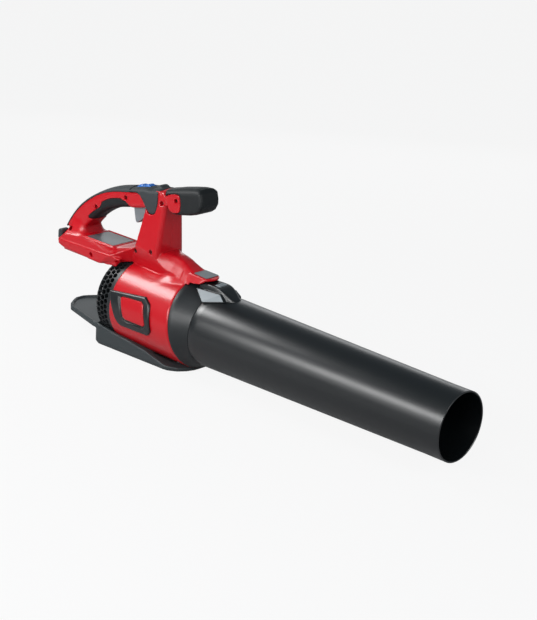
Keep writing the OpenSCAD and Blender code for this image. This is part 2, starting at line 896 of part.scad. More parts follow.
module latch_block() {
  cloud([
    [barrel_front + 9, nose_w - wall - 1, tube_root_r - 4],
    [barrel_front + 9, nose_w - wall - 3.5, block_top],
    [block_x + 12, nose_w - wall - 1, block_top + 0.8], [block_x + 17, nose_w - 4.5, block_top],
    [block_x + 25, nose_w - 5, barrel_r + 0.6], [block_x + 35, nose_w - 7, tube_root_r + 1.6],
    [block_x + 44, nose_w - 10, tube_root_r - 1.2], [block_x + 32, nose_w - 1, barrel_r - 10.5],
    [block_x + 22, nose_w - 3, barrel_r - 2], [block_x - 18, nose_w - 2.8, barrel_r - 4],
    [block_x + 2, nose_w + 13, barrel_r - 15.5]
  ]);
}

module button_room(grow) {
  x0 = block_x + 3;
  span([x0 - grow, x0 + 9 + grow], [-7.5 - grow, 7.5 + grow],
    [tube_root_r + 1.6, block_top + 5]);
}

module blower_tube() {
  color(black) at_axis() difference() {
    union() {
      turned() tube_profile(0);
      difference() {
        latch_block();
        collar_outside(0.5);
        disc(-big, seat_x, tube_root_r + 0.5);
      }
    }
    turned() polygon([
      [0, seat_x - 60], [tube_outer(seat_x) - tube_wall, seat_x - 60],
      [tube_outer(seat_x) - tube_wall, seat_x],
      [outlet_r - tube_wall, outlet_x - outlet_land], [outlet_r - tube_wall, outlet_x + 1],
      [0, outlet_x + 1]
    ]);
    button_room(0.3);
  }
}

button_foot = tube_root_r + 7.6;

module tube_release_button() {
  color(pale) at_axis() intersection() {
    button_room(0);
    span([0, big], [-big, big], [button_foot, block_top + 0.8]);
  }
}

module release_spring() {
  color(steel) at_axis() translate([block_x + 7.5, 0, tube_root_r + 1.7]) difference() {
    cylinder(r = 2.6, h = button_foot - tube_root_r - 1.8);
    translate([0, 0, -1]) cylinder(r = 1.8, h = 30);
  }
}

// ---------- fan and motor ----------

duct_in = inner_r - 2.4;
fan_x0 = -34;
fan_x1 = -8;
hub_x0 = -4;
hub_x1 = front_top - 7;
strut_x = 22;
bore_r = hub_r - 2.4;

module fan_duct() {
  color(black) at_axis() difference() {
    union() {
      ring(-barrel_back + 4, front_top - 12 - seat_gap, duct_in, inner_r - seat_gap);
      ring(hub_x0, hub_x1, bore_r, hub_r);
      disc(hub_x0, hub_x0 + 3, hub_r);
      for (i = [1:vane_count - 1]) rotate([i * 360 / vane_count, 0, 0])
        translate([hub_x0 + 8, 0, 0]) rotate([0, 0, 6])
          translate([0, -1, hub_r - 1]) cube([36, 2, duct_in - hub_r + 2]);
      span([hub_x0 + 8, 40], [-6.5, 6.5], [hub_r - 1, duct_in + 1]);
    }
    disc(hub_x0 - 1, hub_x0 + 8, bearing_r + 0.1);
    span([strut_x - 2, strut_x + 2], [-5, 5], [hub_r - 5, big]);
  }
}

bearing_r = shaft_r + 6;
stack_x0 = 8;
stack_x1 = 34;

module bearing(x0, x1) { ring(x0, x1, shaft_r + run_gap, bearing_r); }

module rear_bearing() { color(steel) at_axis() bearing(hub_x0 - 0.5, hub_x0 + 3.5); }

module front_bearing() { color(steel) at_axis() bearing(hub_x1 - 6, hub_x1 - 2); }

module motor_stator() {
  teeth = 12;
  color(steel) at_axis() {
    ring(stack_x0, stack_x1, bore_r - 4, bore_r - 0.1);
    for (i = [0:teeth - 1]) rotate([i * 360 / teeth, 0, 0])
      span([stack_x0, stack_x1], [-1.3, 1.3], [rotor_r + 1, bore_r - 3.5]);
  }
}

module motor_windings() {
  color(copper) at_axis() {
    ring(stack_x0 - 4, stack_x0 - 0.1, rotor_r + 3, bore_r - 4.2);
    ring(stack_x1 + 0.1, stack_x1 + 4, rotor_r + 3, bore_r - 4.2);
  }
}

module tail_cone() {
  tip_x = seat_x - 6;
  color(black) at_axis() difference() {
    turned() polygon([
      [0, hub_x1 + 0.1], [hub_r, hub_x1 + 0.1], [hub_r * 0.86, hub_x1 + 16],
      [hub_r * 0.5, tip_x - 10], [hub_r * 0.2, tip_x - 1], [0, tip_x]
    ]);
    turned() polygon([
      [0, hub_x1], [hub_r - 2, hub_x1], [hub_r * 0.8, hub_x1 + 14], [hub_r * 0.4, tip_x - 14],
      [0, tip_x - 6]
    ]);
  }
  color(black) at_axis() difference() {
    ring(hub_x1 - 7, hub_x1 + 0.5, bearing_r + 0.1, bearing_r + 2.6);
    disc(hub_x1 - 1, hub_x1 + 2, shaft_r);
  }
  color(black) at_axis() ring(hub_x1 + 0.1, hub_x1 + 2, bearing_r + 0.1, hub_r - 1);
}

module rotor_shaft() { color(steel) at_axis() disc(fan_x0 - 12, hub_x1 - 1, shaft_r); }

module rotor_magnet() { color(dark) at_axis() ring(stack_x0, stack_x1, shaft_r, rotor_r); }

module impeller() {
  tip = duct_in - tip_gap;
  color(dark) at_axis() {
    difference() {
      disc(fan_x0, fan_x1, hub_r);
      disc(fan_x0 + 3, fan_x1 + 1, hub_r - 2.5);
      disc(fan_x0 - 1, fan_x1 + 1, shaft_r);
    }
    ring(fan_x0 + 2, fan_x1 - 1, shaft_r, shaft_r + 3.5);
    for (i = [0:blade_count - 1]) rotate([i * 360 / blade_count, 0, 0]) intersection() {
      translate([(fan_x0 + fan_x1) / 2, 0, hub_r - 1]) rotate([0, 0, 38])
        translate([-14, -1.1, 0]) cube([28, 2.2, tip]);
      ring(fan_x0, fan_x1, hub_r - 1, tip);
    }
  }
}

module impeller_nut() {
  color(steel) at_axis() difference() {
    translate([fan_x0 - 5.5, 0, 0]) rotate([0, 90, 0]) cylinder(r = shaft_r + 3, h = 5.4, $fn = 6);
    disc(fan_x0 - 6, fan_x0, shaft_r);
  }
}

// ---------- output ----------

right_shell();
left_shell();
handle_spine();
switch_collar();
grip_insert();
knob_grip();
trigger();
trigger_pin();
trigger_spring();
trigger_switch();
turbo_button();
turbo_switch();
battery_latch();
latch_springs();
terminal_block();
terminal_blades();
power_leads();
controller_board();
heat_sink();
motor_leads();
intake_grille();
base_plate();
base_screws();
badge_frames();
badge_panels();
deck_label();
nose_decal();
front_collar();
blower_tube();
tube_release_button();
release_spring();
fan_duct();
motor_stator();
motor_windings();
front_bearing();
rear_bearing();
tail_cone();
rotor_shaft();
rotor_magnet();
impeller();
impeller_nut();
housing_screws();
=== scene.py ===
"""Looks of a hand-held cordless blower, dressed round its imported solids.

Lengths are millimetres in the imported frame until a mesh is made, which is in metres.
"""
import logging
import math
from dataclasses import dataclass
from enum import Enum
from functools import reduce
from itertools import product
from typing import Callable, Optional, Sequence

import bmesh
import bpy
import numpy as np
from mathutils import Matrix, Vector


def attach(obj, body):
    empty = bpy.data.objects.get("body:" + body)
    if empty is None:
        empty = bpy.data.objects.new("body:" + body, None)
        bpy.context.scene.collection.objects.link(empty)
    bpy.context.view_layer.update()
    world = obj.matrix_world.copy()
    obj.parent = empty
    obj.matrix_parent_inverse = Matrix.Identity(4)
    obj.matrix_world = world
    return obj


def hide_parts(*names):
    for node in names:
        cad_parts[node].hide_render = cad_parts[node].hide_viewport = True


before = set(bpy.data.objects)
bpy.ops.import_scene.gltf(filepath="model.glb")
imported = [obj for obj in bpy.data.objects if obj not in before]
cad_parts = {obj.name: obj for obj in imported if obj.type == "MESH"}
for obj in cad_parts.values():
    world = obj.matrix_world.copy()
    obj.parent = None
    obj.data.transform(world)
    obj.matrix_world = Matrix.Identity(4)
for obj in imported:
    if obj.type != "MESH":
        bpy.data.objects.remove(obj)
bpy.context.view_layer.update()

LOG = logging.getLogger("blower")
MM = 0.001
AXIS = 65.0  # height of the fan's axis
BARREL_R = 62.0
FRONT = 71.0  # barrel's front edge, at the axis
LEAN = math.radians(11.0)  # lean of that edge
PITCH = math.tan(LEAN)
CONE = 0.31  # fall of the front collar's radius, for each millimetre along the axis
ARC_X, ARC_Z, ARC_R = -44.0, 56.0, 165.0  # arc that the handle is bent along
SLOPE = math.radians(13.0)  # rise of the top bar
COS, SIN = math.cos(SLOPE), math.sin(SLOPE)

Grid = np.ndarray
Point = Sequence[float]
Shape = Callable[[Grid, Grid, Grid], Grid]
Faces = list[Sequence[int]]


class Body(Enum):
    """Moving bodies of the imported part."""

    HOUSING = "housing"
    TRIGGER = "trigger"
    TURBO = "turbo_button"
    LATCH = "battery_latch"
    TUBE = "tube"
    TUBE_BUTTON = "tube_button"


class Side(Enum):
    """The two sides, by the sign of y."""

    RIGHT = -1
    LEFT = 1


# ---------------------------------------------------------------- distances


def smax(a: Grid, b: Grid, k: float) -> Grid:
    """Largest of two distances, rounded over k millimetres where they meet."""
    if np.isscalar(k) and k <= 0:
        return np.maximum(a, b)
    h = np.clip(0.5 + 0.5 * (a - b) / k, 0.0, 1.0)
    return b + (a - b) * h + k * h * (1.0 - h)


def smin(a: Grid, b: Grid, k: float) -> Grid:
    """Smallest of two distances, filled over k millimetres where they meet."""
    return -smax(-a, -b, k)


def common(*gaps: Grid) -> Grid:
    """Largest of several distances, with sharp edges where they meet."""
    return reduce(np.maximum, gaps)


def within(v: Grid, low: float, high: float) -> Grid:
    """Distance to the space between two limits."""
    return np.maximum(low - v, v - high)


def from_axis(y: Grid, z: Grid) -> Grid:
    """Distance from the fan's axis."""
    return np.hypot(y, z - AXIS)


def front_edge(x: Grid, z: Grid) -> Grid:
    """Distance ahead of the barrel's leaning front edge."""
    return (x - FRONT + PITCH * (z - AXIS)) * math.cos(LEAN)


def lookup(at: Grid, places: Sequence[float], values: Sequence[float]) -> Grid:
    """Values between the entries of a table."""
    return np.interp(at, places, values).astype(np.float32)


def hull(points: Sequence[Point], soft: float) -> Shape:
    """Convex solid round points and their mirror images, with edges rounded by soft."""
    bm = bmesh.new()
    for p in [*points, *[(x, -y, z) for x, y, z in points]]:
        bm.verts.new(p)
    bmesh.ops.convex_hull(bm, input=bm.verts)
    planes = {}
    for f in bm.faces:
        if f.calc_area() > 1e-3:
            key = tuple(round(c, 2) for c in f.normal)
            planes.setdefault(key, np.float32([*f.normal, f.normal.dot(f.verts[0].co)]))
    bm.free()

    def distance(x: Grid, y: Grid, z: Grid) -> Grid:
        """Distance to the rounded hull."""
        flats = (a * x + b * y + (c * z - d) for a, b, c, d in planes.values())
        return reduce(lambda one, two: smax(one, two, soft), flats)

    return distance


def block(low: Point, high: Point, soft: float = 0.0) -> Shape:
    """Box between two corners, with its edges rounded by soft."""

    def distance(x: Grid, y: Grid, z: Grid) -> Grid:
        """Distance to the box."""
        a, b, c = (within(*item) for item in zip((x, y, z), low, high))
        return smax(smax(a, b, soft), c, soft)

    return distance


def outline_distance(points: Sequence[Point], u: Grid, v: Grid) -> Grid:
    """Signed distance in a plane to a closed outline.

    Args:
        points: the outline's corners in order.
        u: first coordinate of each place.
        v: second coordinate of each place.

    Returns:
        Distances, negative inside.
    """
    best = np.full(np.broadcast(u, v).shape, 1e9, np.float32)
    inside = np.zeros(best.shape, bool)
    for (ax, ay), (bx, by) in zip(points, [*points[1:], points[0]]):
        ex, ey = bx - ax, by - ay
        t = np.clip(((u - ax) * ex + (v - ay) * ey) / (ex * ex + ey * ey + 1e-9), 0, 1)
        best = np.minimum(best, (u - ax - t * ex) ** 2 + (v - ay - t * ey) ** 2)
        if ay != by:
            inside ^= ((ay > v) != (by > v)) & (u < ex * (v - ay) / ey + ax)
    best = np.sqrt(best)
    return np.where(inside, -best, best).astype(np.float32)


def bar_point(along: float, up: float) -> tuple[float, float]:
    """Place in X and Z of a point given along and above the top bar."""
    return ARC_X + along * COS - up * SIN, ARC_Z + along * SIN + up * COS


def bar_slab(points: Sequence[Point], half: float, soft: float = 1.0) -> Shape:
    """Outline along and above the top bar, made solid across the tool to each side."""
    ring = [bar_point(a, b) for a, b in points]
    return lambda x, y, z: smax(outline_distance(ring, x, z), np.abs(y) - half, soft)


def bar_box(along: Point, up: Point, half: float, soft: float = 1.0) -> Shape:
    """Block between two places along the top bar and two above it."""
    (a, b), (c, d) = along, up
    return bar_slab([(a, c), (a, d), (b, d), (b, c)], half, soft)


def rod(centre: Point, radius: float, low: float, high: float, soft: float = 0.0) -> Shape:
    """Rod across the tool at a place in X and Z, from y = low to high."""
    return lambda x, y, z: smax(
        np.hypot(x - centre[0], z - centre[1]) - radius, within(y, low, high), soft)


def tube_of(radius: float, low: float, high: float, soft: float = 0.0) -> Shape:
    """Round bar about the fan's axis, from x = low to high."""
    return lambda x, y, z: smax(from_axis(y, z) - radius, within(x, low, high), soft)


def bent(x: Grid, z: Grid) -> tuple[Grid, Grid]:
    """Handle coordinates: length along the bent handle, and radius from its arc's centre."""
    a = COS * (x - ARC_X) + SIN * (z - ARC_Z)
    b = COS * (z - ARC_Z) - SIN * (x - ARC_X)
    r = np.where(a < 0, np.hypot(a, b), b)
    u = np.where(a < 0, -np.arctan2(-a, np.maximum(b, 1e-3)) * ARC_R, a)
    return u.astype(np.float32), r.astype(np.float32)


def insert_edge(u: Grid) -> Grid:
    """Radius at which the soft insert's upper edge lies along the handle."""
    return lookup(u, [-88, -85.5, -52, -43.5, -24, -2, 9.9, 17.5],
                  [151, 155, 155.3, 161.3, 162, 160.6, 155.5, 147.6])


def insert_ends(u: Grid, r: Grid, rear: float, front: float) -> Grid:
    """Distance to the stretch of the handle that the soft insert lines."""
    return np.maximum(rear - u + np.maximum(152.0 - r, 0) * 0.72, u - front)


def spine_edge(u: Grid) -> Grid:
    """Radius at which the dark spine's lower edge lies along the handle."""
    return lookup(u, [-130, -105.6, -83.7, -66.4, -42.8, -21.2, 4, 31],
                  [174.4, 174.2, 173.6, 173.0, 172.2, 170.8, 169.6, 168.8])


def swept(xs: Sequence[float], values: Sequence[float], soft: float = 8.0):
    """Smooth curve through values at some places along X, as a function."""
    fine = np.arange(xs[0] - 3 * soft, xs[-1] + 3 * soft, 0.5)
    kernel = np.hanning(int(2 * soft) + 3)
    line = np.pad(np.interp(fine, xs, values), len(kernel) // 2, mode="edge")
    line = np.convolve(line, kernel / kernel.sum(), mode="valid")
    return lambda x: lookup(x, fine, line)


SADDLE = ((20.2, 170.0), (31, 169.4), (37.5, 168.0), (42, 164.5), (46, 158.0),
          (51.1, 147.9), (55.2, 141.2), (58.8, 139.0), (65, 138.4), (70.2, 140.4), (74, 147),
          (76.8, 154), (79.6, 165.5), (81.9, 172.7), (82.0, 179.0), (20.2, 179.0))
KNOB_PATCH = ((93.2, 161.5), (94.4, 164.6), (99.9, 166.4), (110.3, 167.2), (119.4, 165.8),
              (121.5, 163), (121.0, 152), (118.6, 144), (115.2, 141.2), (106.1, 140.6),
              (100, 142.4), (96.6, 146.8))
BUTTON_WELL = bar_box((24.6, 53.4), (160, 190), 7.6, 0.5)


@dataclass
class Clay:
    """Grid of distances that solids are added to and cut from."""

    low: Point
    high: Point
    step: float

    def __post_init__(self) -> None:
        """Lays out the grid, empty."""
        self.axes = []
        for lo, hi in zip(self.low, self.high):
            count = math.ceil((hi - lo) / self.step - 1e-6) + 1
            self.axes.append((lo + self.step * np.arange(count)).astype(np.float32))
        self.field = np.full([len(a) for a in self.axes], 12.0, np.float32)

    def _window(self, low: Point = (-1e9,) * 3, high: Point = (1e9,) * 3) -> tuple:
        """Slices and open coordinates of the part of the grid in a box."""
        cut = []
        for axis, lo, hi in zip(self.axes, low, high):
            a, b = (int(np.searchsorted(axis, v)) for v in (lo, hi))
            cut.append(slice(a, max(b, a + 1)))
        x, y, z = (axis[part] for axis, part in zip(self.axes, cut))
        return tuple(cut), (x[:, None, None], y[None, :, None], z[None, None, :])

    def add(self, shape: Shape, blend: float = 0.0, *box: Point) -> None:
        """Adds a solid, filled over blend millimetres where it meets the rest."""
        cut, places = self._window(*box)
        self.field[cut] = smin(self.field[cut], shape(*places), blend)

    def cut(self, shape: Shape, blend: float = 0.0, *box: Point) -> None:
        """Cuts a solid away, with the new edge rounded over blend millimetres."""
        cut, places = self._window(*box)
        self.field[cut] = smax(self.field[cut], -shape(*places), blend)

    def mirror(self) -> None:
        """Doubles a grid that ends at y = 0 with its mirror image."""
        self.field = np.concatenate([self.field, self.field[:, -2::-1, :]], axis=1)
        self.axes[1] = np.concatenate([self.axes[1], -self.axes[1][-2::-1]])

    def half(self, side: Side, gap: float) -> tuple[Grid, Faces]:
        """Mesh of one side of the middle plane, closed by a flat face along it.

        Args:
            side: which side to keep.
            gap: half of the slit that is left between the halves.

        Returns:
            Vertices in millimetres, and four-sided faces.
        """
        part = Clay(self.low, self.low, self.step)
        own = self.axes[1] * side.value > -1e-3
        part.axes = [self.axes[0], self.axes[1][own], self.axes[2]]
        part.field = self.field[:, own, :].copy()
        layer = 0 if side is Side.LEFT else -1
        part.field[:, layer, :] = np.maximum(part.field[:, layer, :], 0.05)
        return part.surface(side.value * gap)

    def surface(self, flat: Optional[float] = None) -> tuple[Grid, Faces]:
        """Mesh of the zero surface, one vertex to a cell.

        Args:
            flat: place in y of a flat face in the layer of cells at the middle plane.

        Returns:
            Vertices in millimetres, and four-sided faces.
        """
        f = self.field
        inside = f < 0
        total = np.zeros([n - 1 for n in f.shape], np.uint8)
        corners = list(product((0, 1), repeat=3))
        for c in corners:
            total += inside[tuple(slice(a, n - 1 + a) for a, n in zip(c, f.shape))]
        cells = np.argwhere((total > 0) & (total < 8))
        index = np.full(total.shape, -1, np.int64)
        index[tuple(cells.T)] = np.arange(len(cells))
        value = {c: f[tuple((cells + c).T)] for c in corners}
        sums = np.zeros((2, len(cells), 3))
        count = np.zeros((2, len(cells), 1))
        for a, axis in product(corners, range(3)):
            if a[axis]:
                continue
            b = tuple(v + (n == axis) for n, v in enumerate(a))
            hit = (value[a] < 0) != (value[b] < 0)
            across = int(axis == 1)
            sums[across, hit] += a
            sums[across, hit, axis] += value[a][hit] / (value[a][hit] - value[b][hit])
            count[across, hit] += 1
        start = np.array([a[0] for a in self.axes])
        verts = start + (cells + sums.sum(axis=0) / count.sum(axis=0)) * self.step
        if flat is not None:
            seam = np.abs(start[1] + (cells[:, 1] + 0.5) * self.step) < self.step
            rim = seam & (count[0, :, 0] > 0)
            verts[rim] = start + (cells[rim] + sums[0, rim] / count[0, rim]) * self.step
            verts[seam, 1] = flat
        faces = []
        for axis in range(3):
            first, second = [slice(None)] * 3, [slice(None)] * 3
            first[axis], second[axis] = slice(None, -1), slice(1, None)
            edges = np.argwhere(inside[tuple(first)] != inside[tuple(second)])
            p, q = [n for n in range(3) if n != axis]
            edges = edges[
                (edges[:, p] > 0) & (edges[:, q] > 0)
                & (edges[:, p] < total.shape[p]) & (edges[:, q] < total.shape[q])
            ]
            ring = []
            for dp, dq in ((0, 0), (-1, 0), (-1, -1), (0, -1)):
                at = edges.copy()
                at[:, p] += dp
                at[:, q] += dq
                ring.append(index[tuple(at.T)])
            quads = np.stack(ring, axis=1)
            flip = inside[tuple(edges.T)] == (axis == 1)
            quads[flip] = quads[flip][:, ::-1]
            faces.append(quads)
        return verts, np.concatenate(faces).tolist()


# ---------------------------------------------------------------- meshes


def mesh_object(name: str, verts: Sequence[Point], faces: Faces, sharp: float = 40.0):
    """Object from vertices in millimetres.

    Args:
        name: the piece's name.
        verts: places in millimetres.
        faces: vertex numbers of each face.
        sharp: angle in degrees above which an edge stays sharp.

    Returns:
        The linked object.
    """
    mesh = bpy.data.meshes.new(name)
    mesh.from_pydata((np.asarray(verts, float) * MM).tolist(), [], faces)
    mesh.validate()
    obj = bpy.data.objects.new(name, mesh)
    bpy.context.collection.objects.link(obj)
    finish_normals(obj, sharp)
    return obj


def finish_normals(obj: bpy.types.Object, sharp: float) -> None:
    """Turns normals outward and shades smooth, with edges over the angle kept sharp."""
    bm = bmesh.new()
    bm.from_mesh(obj.data)
    bmesh.ops.recalc_face_normals(bm, faces=bm.faces)
    bm.to_mesh(obj.data)
    bm.free()
    obj.data.polygons.foreach_set("use_smooth", [True] * len(obj.data.polygons))
    obj.data.set_sharp_from_angle(angle=math.radians(sharp))


def loft_faces(n: int, rows: int, start: int = 0, closed: bool = False) -> Faces:
    """Faces between rows of n places, each row a loop; closed joins the last to the first."""
    return [
        (start + a * n + i, start + a * n + (i + 1) % n, start + (a + 1) % rows * n + (i + 1) % n,
         start + (a + 1) % rows * n + i)
        for a in range(rows if closed else rows - 1) for i in range(n)
    ]


def lathe(profile: Sequence[Point], segments: int) -> tuple[list, Faces]:
    """Closed loop of (x, radius) pairs turned about the fan's axis in some steps."""
    verts = []
    for s in range(segments):
        a = 2 * math.pi * s / segments
        verts += [(x, r * math.cos(a), AXIS + r * math.sin(a)) for x, r in profile]
    return verts, loft_faces(len(profile), segments, closed=True)


# ---------------------------------------------------------------- finishes


def feed(tree: bpy.types.NodeTree, node: bpy.types.Node, inputs: dict) -> None:
    """Links each input to the socket given for it, or sets it to the value given."""
    for key, value in inputs.items():
        if isinstance(value, bpy.types.NodeSocket):
            tree.links.new(value, node.inputs[key])
        else:
            node.inputs[key].default_value = value


def add_node(tree: bpy.types.NodeTree, kind: str, inputs: dict, **settings) -> bpy.types.Node:
    """Adds a shader node.

    Args:
        tree: the tree to add to.
        kind: the node's type, without its leading ShaderNode.
        inputs: socket or value of each input, by name or number.
        settings: the node's properties.

    Returns:
        The node.
    """
    node = tree.nodes.new("ShaderNode" + kind)
    for key, value in settings.items():
        setattr(node, key, value)
    feed(tree, node, inputs)
    return node


def calculate(tree: bpy.types.NodeTree, operation: str, *values, **settings):
    """Socket with the result of a calculation on sockets or values."""
    inputs = dict(enumerate(values))
    return add_node(tree, "Math", inputs, operation=operation, **settings).outputs[0]


def mixed(tree: bpy.types.NodeTree, share, base, other):
    """Socket with a mix of two colours, given as sockets or values."""
    first, second, result = 6, 7, 2
    node = add_node(tree, "Mix", {"Factor": share, first: base, second: other},
                    data_type="RGBA")
    return node.outputs[result]


class Effects:
    """Shader node groups that several finishes share."""

    @staticmethod
    def _group(name: str, enter: dict, leave: Sequence[str]) -> tuple:
        """New group with inputs by default and outputs by name; its tree and both ends."""
        tree = bpy.data.node_groups.new(name, "ShaderNodeTree")
        for label, default in enter.items():
            kind = "NodeSocketColor" if isinstance(default, tuple) else "NodeSocketFloat"
            socket = tree.interface.new_socket(name=label, in_out="INPUT", socket_type=kind)
            socket.default_value = default
        for label in leave:
            kind = "NodeSocketColor" if label == "Colour" else "NodeSocketFloat"
            tree.interface.new_socket(name=label, in_out="OUTPUT", socket_type=kind)
        return tree, tree.nodes.new("NodeGroupInput").outputs, tree.nodes.new("NodeGroupOutput")

    @staticmethod
    def _noise(tree: bpy.types.NodeTree, scale: float, detail: float):
        """Socket with noise in the object's own coordinates, its scale a socket or a value."""
        place = add_node(tree, "TexCoord", {}).outputs["Object"]
        inputs = {"Vector": place, "Scale": scale, "Detail": detail}
        return add_node(tree, "TexNoise", inputs).outputs["Fac"]

    @classmethod
    def grain(cls) -> bpy.types.NodeTree:
        """Group that gives a moulded surface's fine height and a broad roughness change."""
        name = "moulded_grain"
        if name in bpy.data.node_groups:
            return bpy.data.node_groups[name]
        tree, enter, leave = cls._group(
            name, {"Grain Scale": 900.0, "Base Roughness": 0.4, "Roughness Change": 0.08},
            ("Height", "Roughness"))
        broad = calculate(tree, "SUBTRACT", cls._noise(tree, 22.0, 4.0), 0.5)
        feed(tree, leave, {
            "Height": cls._noise(tree, enter["Grain Scale"], 2.0),
            "Roughness": calculate(tree, "MULTIPLY_ADD", broad, enter["Roughness Change"],
                                   enter["Base Roughness"])})
        return tree

    @classmethod
    def wear(cls) -> bpy.types.NodeTree:
        """Group that tints a colour along rubbed edges and mottles it faintly."""
        name = "edge_wear"
        if name in bpy.data.node_groups:
            return bpy.data.node_groups[name]
        tree, enter, leave = cls._group(
            name, {"Colour": (0.5, 0.5, 0.5, 1.0), "Rubbed": (0.7, 0.7, 0.7, 1.0),
                   "Amount": 0.3, "Mottle": 0.06}, ("Colour",))
        cloud = cls._noise(tree, 35.0, 5.0)
        edge = add_node(tree, "NewGeometry", {}).outputs["Pointiness"]
        ramp = add_node(tree, "MapRange", {"Value": edge, "From Min": 0.54, "From Max": 0.68})
        spots = calculate(tree, "MULTIPLY", ramp.outputs["Result"], cloud)
        share = calculate(tree, "MULTIPLY", spots, enter["Amount"])
        rubbed = mixed(tree, share, enter["Colour"], enter["Rubbed"])
        level = calculate(tree, "MULTIPLY_ADD", calculate(tree, "SUBTRACT", cloud, 0.5),
                          enter["Mottle"], 1.0)
        tone = add_node(tree, "VectorMath", {0: rubbed}, operation="SCALE")
        feed(tree, tone, {"Scale": level})
        feed(tree, leave, {"Colour": tone.outputs[0]})
        return tree


def linear(screen: Sequence[int]) -> tuple[float, ...]:
    """Linear colour, with alpha, from 8-bit screen values."""
    shares = [v / 255.0 for v in screen]
    return *[v / 12.92 if v <= 0.04045 else ((v + 0.055) / 1.055) ** 2.4 for v in shares], 1.0


@dataclass(frozen=True)
class Finish:
    """Moulded, rubber or metal finish of one kind of piece; colours are 8-bit screen values."""

    name: str
    slot: str
    colour: tuple
    rubbed: tuple
    roughness: float = 0.4
    change: float = 0.08
    grain: float = 900.0
    depth: float = 0.00002
    metallic: float = 0.0
    coat: float = 0.0
    wear: float = 0.3
    mottle: float = 0.06
    specular: float = 0.5

    def material(self) -> bpy.types.Material:
        """The finish as a material, made once."""
        if self.name in bpy.data.materials:
            return bpy.data.materials[self.name]
        mat = bpy.data.materials.new(self.name)
        mat.use_nodes = True
        tree = mat.node_tree
        wear = add_node(tree, "Group", {
            "Colour": linear(self.colour), "Rubbed": linear(self.rubbed), "Amount": self.wear,
            "Mottle": self.mottle}, node_tree=Effects.wear())
        grain = add_node(tree, "Group", {
            "Grain Scale": self.grain, "Base Roughness": self.roughness,
            "Roughness Change": self.change}, node_tree=Effects.grain())
        bump = add_node(tree, "Bump", {"Distance": self.depth, "Strength": 1.0,
                                       "Height": grain.outputs["Height"]})
        feed(tree, tree.nodes["Principled BSDF"], {
            "Base Color": wear.outputs["Colour"], "Roughness": grain.outputs["Roughness"],
            "Normal": bump.outputs["Normal"], "Metallic": self.metallic,
            "Coat Weight": self.coat, "Coat Roughness": 0.12,
            "Specular IOR Level": self.specular})
        return mat


RED = Finish("glossy_red", "red_plastic", (186, 9, 24), (214, 70, 84), roughness=0.30,
             change=0.05, grain=1400.0, depth=0.000006, coat=0.2, specular=0.42)
SOFT = Finish("soft_touch", "soft_overmould", (44, 49, 52), (84, 90, 93), roughness=0.66,
              change=0.10, grain=1800.0, depth=0.00004)
GRIP = Finish("black_grip", "black_rubber", (17, 21, 23), (48, 53, 55), roughness=0.55,
              specular=0.4, grain=1600.0, depth=0.00004)
TUBE = Finish("satin_tube", "tube_plastic", (11, 15, 17), (52, 58, 60), roughness=0.31,
              specular=0.75, change=0.06, grain=1300.0, depth=0.000012, wear=0.25)
COLLAR = Finish("satin_collar", "tube_plastic", (24, 28, 30), (72, 78, 80), roughness=0.42,
                grain=1300.0)
BASE = Finish("grey_base", "base_plastic", (50, 56, 58), (96, 103, 105), roughness=0.48,
              grain=1200.0, depth=0.00003)
GRILLE = Finish("black_grille", "grille_plastic", (26, 29, 31), (120, 126, 128),
                roughness=0.42, grain=1500.0, depth=0.00001, wear=0.5)
# also colours the pale sheets that paint the key light's highlight on the tube block's sloping
# sides
PALE = Finish("pale_grey", "pale_plastic", (122, 130, 134), (168, 174, 178), roughness=0.42,
              grain=1500.0, depth=0.00001)
BLUE = Finish("boost_blue", "blue_plastic", (18, 98, 180), (110, 165, 215), roughness=0.25,
              grain=1500.0, depth=0.000005, coat=0.3)
LABEL = Finish("label_film", "label_grey", (84, 93, 97), (130, 139, 144), roughness=0.33,
               grain=500.0, depth=0.000004, wear=0.1, mottle=0.12)
INNER = Finish("inner_black", "inner_black", (26, 28, 30), (60, 62, 64), roughness=0.5)
SCREW = Finish("dark_screw", "steel", (60, 58, 58), (120, 118, 118), metallic=0.9,
               grain=2200.0, depth=0.000005)
STEEL = Finish("bright_steel", "steel", (190, 192, 196), (220, 220, 222), roughness=0.28,
               metallic=1.0, grain=2200.0, depth=0.000005, mottle=0.1)
MAGNET = Finish("coated_magnet", "magnet", (70, 73, 78), (110, 112, 116), roughness=0.35,
                metallic=0.6)
COPPER = Finish("wound_copper", "copper", (196, 118, 62), (230, 160, 110), roughness=0.32,
                metallic=1.0, grain=1500.0, depth=0.00008)
BOARD = Finish("lacquered_board", "board_green", (28, 96, 56), (110, 150, 100),
               roughness=0.35, grain=600.0, depth=0.00001, mottle=0.2)
ALUMINIUM = Finish("extruded_aluminium", "aluminium", (200, 203, 206), (225, 225, 228),
                   roughness=0.33, metallic=1.0, grain=1800.0)
LEAD_RED = Finish("lead_red", "lead_red", (190, 30, 30), (220, 90, 90))
LEAD_BLACK = Finish("lead_black", "lead_black", (30, 30, 32), (70, 70, 72))


def place(
    obj: bpy.types.Object, finish: Finish, *nodes: str, body: Body = Body.HOUSING
) -> None:
    """Dresses a piece, sets it on its body and lets it stand for its solids.

    Args:
        obj: the piece.
        finish: its finish.
        nodes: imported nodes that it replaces.
        body: the body it rides on.
    """
    obj.data.materials.clear()
    obj.data.materials.append(finish.material())
    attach(obj, body.value)
    if nodes:
        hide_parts(*nodes)
    LOG.info("%s: %d faces", obj.name, len(obj.data.polygons))


def clay_piece(
    name: str, clay: Clay, finish: Finish, *nodes: str, body: Body = Body.HOUSING,
    sharp: float = 50.0,
) -> None:
    """Piece made of a clay grid's surface, dressed and placed."""
    place(mesh_object(name, *clay.surface(), sharp), finish, *nodes, body=body)


# ---------------------------------------------------------------- sub-assemblies


